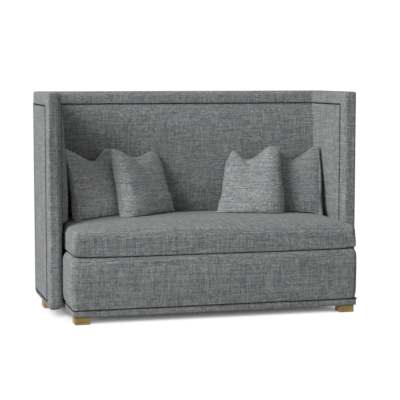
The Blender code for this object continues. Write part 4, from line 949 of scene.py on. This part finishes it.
def add_cushion(material):
    """Add the bench cushion: a boxed form with a full crown, let swell as cloth."""
    half = Vector(((CUSHION_HIGH.x - CUSHION_LOW.x) / 2, (CUSHION_HIGH.y - CUSHION_LOW.y) / 2,
                   CUSHION_END_HEIGHT / 2))
    middle_y = (CUSHION_LOW.y + CUSHION_HIGH.y) / 2
    shrink = 0.004
    wing_gap = 0.003
    side_roll, top_roll, foot_roll = 0.030, 0.042, 0.012
    spacing = 0.013
    steps = 6
    reach = 0.2

    def axis_lines(size):
        core = max(2, math.ceil(2 * (size - 0.05) / spacing))
        edge = 1 - reach
        lines = [-1 + reach * index / steps for index in range(steps)]
        lines += [-edge + 2 * edge * index / core for index in range(core + 1)]
        return lines + [edge + reach * (index + 1) / steps for index in range(steps)]

    lines = [axis_lines(size) for size in half]

    def shape(flat, rounded):
        edge = 1 - reach
        high = flat.z > 0
        radii = (side_roll, side_roll, top_roll) if high else (foot_roll,) * 3
        core = []
        over = []
        for value, size, radius in zip(flat, half, radii):
            core.append(min(max(value / edge, -1), 1) * (size - shrink - radius))
            excess = math.tan(math.pi / 4 * max(abs(value) - edge, 0) / reach)
            over.append(math.copysign(excess, value))
        way = Vector(over).normalized()
        x, y, z = (start + radius * part for start, radius, part in zip(core, radii, way))
        y += middle_y
        x *= min(half.x, wing_face(y) - wing_gap) / half.x
        up = (z + half.z) / (2 * half.z)
        z = SEAM_HEIGHT + GAP / 2 + up * (CUSHION_END_HEIGHT + cushion_rise(x, y))
        return Vector((x, y, z - (1 - up) * seam_droop(x, y)))

    item = add_mesh("bench_cushion", *rounded_box(lines, 1e-6, shape))
    simulate(item, 2.2, 16, 0.005, tension=12.0, bending=0.6)
    relax(item)
    rest = SEAM_HEIGHT + GAP / 2
    rear = BACK_FACE - 0.001
    for vertex in item.data.vertices:
        x, y, z = vertex.co
        y = min(max(y, CUSHION_LOW.y - shrink), rear)
        vertex.co = (x, y, max(z, rest - seam_droop(x, y)))
    subdivide(item)
    for vertex in item.data.vertices:
        vertex.co.z = max(vertex.co.z, rest - seam_droop(vertex.co.x, vertex.co.y))
    dress(item, material, "tweed", "seat_cushion")
    return item


def pillow_point(s, t, face, place, seed):
    """Return a point of a stuffed knife-edge pillow that stands on its lower edge and faces -Y.

    s and t run from -1 to 1 across and up, and face is -1 in front, 1 behind and 0 on the seam.
    """
    up = (t + 1) / 2
    side = 0 if s < 0 else 1
    away = s - place["chop_at"]
    chop_side = 0 if away < 0 else 1
    chop_round = place["chop_round"]
    spread = math.hypot(away / place["slopes"][chop_side], chop_round) - chop_round
    dent = max(0.0, 1 - spread / (1 - chop_round)) ** 1.15
    depth = max(place["chop"]) - place["chop"][chop_side] * (1 - dent)
    corner = within(abs(s), 0.6, 1.0)
    soft = place["soft"][side]
    wide = 1 - place["pinch"][side] * up ** 1.3 + place["swell"][side] * (1 - (1 - up) ** 3)
    x = PILLOW_HALF_WIDTH * s * wide * (1 - PILLOW_DRAWN_IN * (1 - t * t))
    x -= math.copysign(0.45 * soft * corner * max(0.0, 4 * up - 3), s)
    x -= place["recess"][side] * within(s, 0.92, 1.0) ** 2 * (1 - up ** 6)
    x += 0.003 * noise.noise(Vector((t * 2.2, seed, s)))
    z = place["height"] * up - (depth + soft * corner ** 2.2) * up ** 4
    ridge = place["fullest"] if face < 0 else 0.0
    across = (s - ridge) / (1 - ridge * s)
    fall = place["fall"] if across > 0 else PILLOW_FULLNESS
    taper = 6 if t < 0 else 2
    body = max(0.0, 1 - across * across) ** fall * (1 - t ** taper) ** PILLOW_FULLNESS
    uneven = 1 + PILLOW_UNEVEN * noise.noise(Vector((s * 1.6, t * 1.6, seed + face)))
    crease = 1 - PILLOW_CREASE * dent * up ** 1.5
    y = face * place["thickness"] / 2 * body * crease * uneven
    return x, y, max(z, PILLOW_FLAT)


def pillow_form(place, seed):
    """Return the points and faces of a pillow, front and back joined round its seam."""
    cells = PILLOW_CELLS
    crowding = 0.82
    steps = [math.sin(math.pi / 2 * (2 * index / cells - 1) * crowding) / math.sin(math.pi / 2 * crowding)
             for index in range(cells + 1)]
    points = []
    index_of = {}
    faces = []
    for face in (-1, 1):
        for row in range(cells + 1):
            for column in range(cells + 1):
                rim = row in (0, cells) or column in (0, cells)
                key = (0 if rim else face, row, column)
                if key not in index_of:
                    index_of[key] = len(points)
                    points.append(pillow_point(steps[column], steps[row], key[0], place, seed))
        for row in range(cells):
            for column in range(cells):
                quad = []
                for a, b in ((row, column), (row, column + 1), (row + 1, column + 1), (row + 1, column)):
                    rim = a in (0, cells) or b in (0, cells)
                    quad.append(index_of[(0 if rim else face, a, b)])
                faces.append(tuple(quad if face < 0 else reversed(quad)))
    return points, faces


def add_pillow(number, place, support, material):
    """Add one throw pillow, chopped on top, puckered as cloth, leaned, turned and set down."""
    item = add_mesh("pillow_" + str(number), *pillow_form(place, number * PILLOW_SEED_STEP))
    simulate(item, 2.2, 18, 0.010, tension=14.0, bending=0.25, growth=0.05)
    subdivide(item)
    lean = math.radians(place["lean"])
    for vertex in item.data.vertices:
        x, y, z = vertex.co
        z = max(z, PILLOW_FLAT)
        vertex.co = (x, y + z * math.sin(lean), z * math.cos(lean))
    turn = Matrix.Rotation(math.radians(place["turn"]), 4, "Z")
    item.matrix_world = Matrix.Translation((place["x"], place["y"], HEIGHT)) @ turn
    bpy.context.view_layer.update()
    drop = min(room for room in rooms_under(item, support) if room is not None)
    item.matrix_world = Matrix.Translation((0, 0, -drop + PILLOW_SET_DOWN)) @ item.matrix_world
    bpy.context.view_layer.update()
    settle(item, support)
    press_on_wings(item)
    dress(item, material, "tweed", "throw_pillow_" + str(number))


def settle(item, support):
    """Let the lowest part of a soft piece sink until all of it lies on what carries it."""
    for vertex, room in zip(item.data.vertices, rooms_under(item, support, 0.05)):
        share = (1 - within(vertex.co.z, PILLOW_FLAT, PILLOW_SINK_REACH)) ** 2
        if share > 0 and room is not None:
            vertex.co.z -= share * max(0.0, room - PILLOW_REST_GAP)


def press_on_wings(item):
    """Hold a soft piece's points clear of the inside panels of both wings."""
    back = item.matrix_world.inverted()
    for vertex in item.data.vertices:
        place = item.matrix_world @ vertex.co
        name = "left" if place.x < 0 else "right"
        reach = wing_inside(place.y, place.z, name) - PILLOW_WING_GAP
        if abs(place.x) > reach:
            place.x = math.copysign(reach, place.x)
            vertex.co = back @ place


def rooms_under(item, support, lift=0.0):
    """Return each point's drop onto another object, sought from a lift above it, or None beside it."""
    faces = [tuple(face.vertices) for face in support.data.polygons]
    points = [support.matrix_world @ vertex.co for vertex in support.data.vertices]
    tree = BVHTree.FromPolygons(points, faces)
    rooms = []
    for vertex in item.data.vertices:
        place = item.matrix_world @ vertex.co
        hit = tree.ray_cast(place + Vector((0, 0, lift)), Vector((0, 0, -1)))[0]
        rooms.append(None if hit is None else place.z - hit.z)
    return rooms


def paint_frame(materials):
    """Give the nodes that stay in view their own finishes."""
    for entry in frame["record"]["materials"]:
        materials.setdefault(entry["slot"], materials["frame_wood"])
    for part in frame["record"]["subparts"]:
        item = frame["nodes"][part["node"]]
        item.data.materials.clear()
        item.data.materials.append(materials[part["material_slot"]])


def add_stage():
    """Add the pale floor, which glows white with a contact shadow painted in from ambient occlusion, and the
    white surroundings.
    """
    scene = bpy.context.scene
    scene.view_settings.view_transform = "Standard"
    reach = FLOOR_REACH
    corners = [(-reach, -reach, 0), (reach, -reach, 0), (reach, reach, 0), (-reach, reach, 0)]
    floor = add_mesh("floor", corners, [(0, 1, 2, 3)])
    graph = Graph("floor_white_painted_shadow")
    graph.shader.inputs["Emission Color"].default_value = (1, 1, 1, 1)
    # The floor takes no lamp light: it glows white, and ambient occlusion darkens the glow near the banquette
    # as a painted contact shadow
    painted_shadow_occlusion = graph.tree.nodes.new("ShaderNodeAmbientOcclusion")
    painted_shadow_occlusion.samples = FLOOR_SHADE_SAMPLES
    painted_shadow_occlusion.inputs["Distance"].default_value = FLOOR_SHADE_REACH
    shade = graph.maths("EXPONENT", graph.maths("MULTIPLY", painted_shadow_occlusion.outputs["AO"], FLOOR_SHADE_RATE))
    glow_with_painted_shadow = graph.maths("MULTIPLY_ADD", shade, -FLOOR_WHITE, FLOOR_WHITE)
    graph.finish((0.0, 0.0, 0.0, 1.0), roughness=1.0, emission_strength=glow_with_painted_shadow, specular_ior_level=0.0)
    floor.data.materials.append(graph.material)
    floor.visible_diffuse = False
    floor.visible_glossy = False

    world = bpy.data.worlds.new("surroundings")
    scene.world = world
    world.use_nodes = True
    tree = world.node_tree
    background = tree.nodes["Background"]
    background.inputs["Color"].default_value = (1.0, 1.0, 1.0, 1.0)
    path = tree.nodes.new("ShaderNodeLightPath")
    strength = tree.nodes.new("ShaderNodeMapRange")
    strength.inputs["To Min"].default_value = SURROUNDING_LIGHT
    strength.inputs["To Max"].default_value = SURROUNDING_WHITE
    tree.links.new(path.outputs["Is Camera Ray"], strength.inputs["Value"])
    tree.links.new(strength.outputs[0], background.inputs["Strength"])


def add_key_light():
    """Add the square soft light that faces the banquette."""
    data = bpy.data.lights.new("key", "AREA")
    data.size = KEY_SIZE
    data.energy = KEY_POWER
    item = bpy.data.objects.new("key", data)
    item.location = KEY_AIM + KEY_DIRECTION.normalized() * KEY_DISTANCE
    item.rotation_euler = KEY_DIRECTION.to_track_quat("Z", "Y").to_euler()
    bpy.context.scene.collection.objects.link(item)


def add_camera():
    """Add the camera at the photograph's place."""
    data = bpy.data.cameras.new("camera")
    data.lens = CAMERA_LENS
    data.sensor_width = CAMERA_SENSOR
    item = bpy.data.objects.new("camera", data)
    item.location = CAMERA_PLACE
    item.rotation_euler = [math.radians(turn) for turn in CAMERA_TURN]
    bpy.context.scene.collection.objects.link(item)
    bpy.context.scene.camera = item


def build():
    """Dress the banquette and set the scene."""
    cover = tweed("tweed_cover", COVER_TONE)
    materials = {
        "tweed": cover,
        "nailhead": bronze(),
        "foot_wood": wood("foot_wood_stained", FOOT_DARK, FOOT_LIGHT, 0.42, 0),
        "frame_wood": wood("frame_wood_raw", (0.42, 0.30, 0.18), (0.66, 0.52, 0.34), 0.7, 0),
        "steel": spring_steel(),
        "deck_cloth": plain_cloth("deck_cloth_grey", (0.12, 0.12, 0.125), 0.002),
        "dust_cloth": plain_cloth("dust_cloth_black", (0.03, 0.03, 0.03), 0.0015),
    }
    paint_frame(materials)
    for name, side in SIDES.items():
        add_wing(name, side, cover)
    add_back(cover)
    add_base(cover)
    add_plinth(cover)
    add_all_nails(materials["nailhead"])
    cushion = add_cushion(cover)
    for number, place in enumerate(PILLOWS, 1):
        # Each pillow's cloth is lightened by its tone, mostly painted light over the cover's colour
        cloth = tweed("tweed_pillow_painted_light_" + str(number), place["tone"], number * PILLOW_CLOTH_SHIFT)
        add_pillow(number, place, cushion, cloth)
    add_stage()
    add_key_light()
    add_camera()


build()
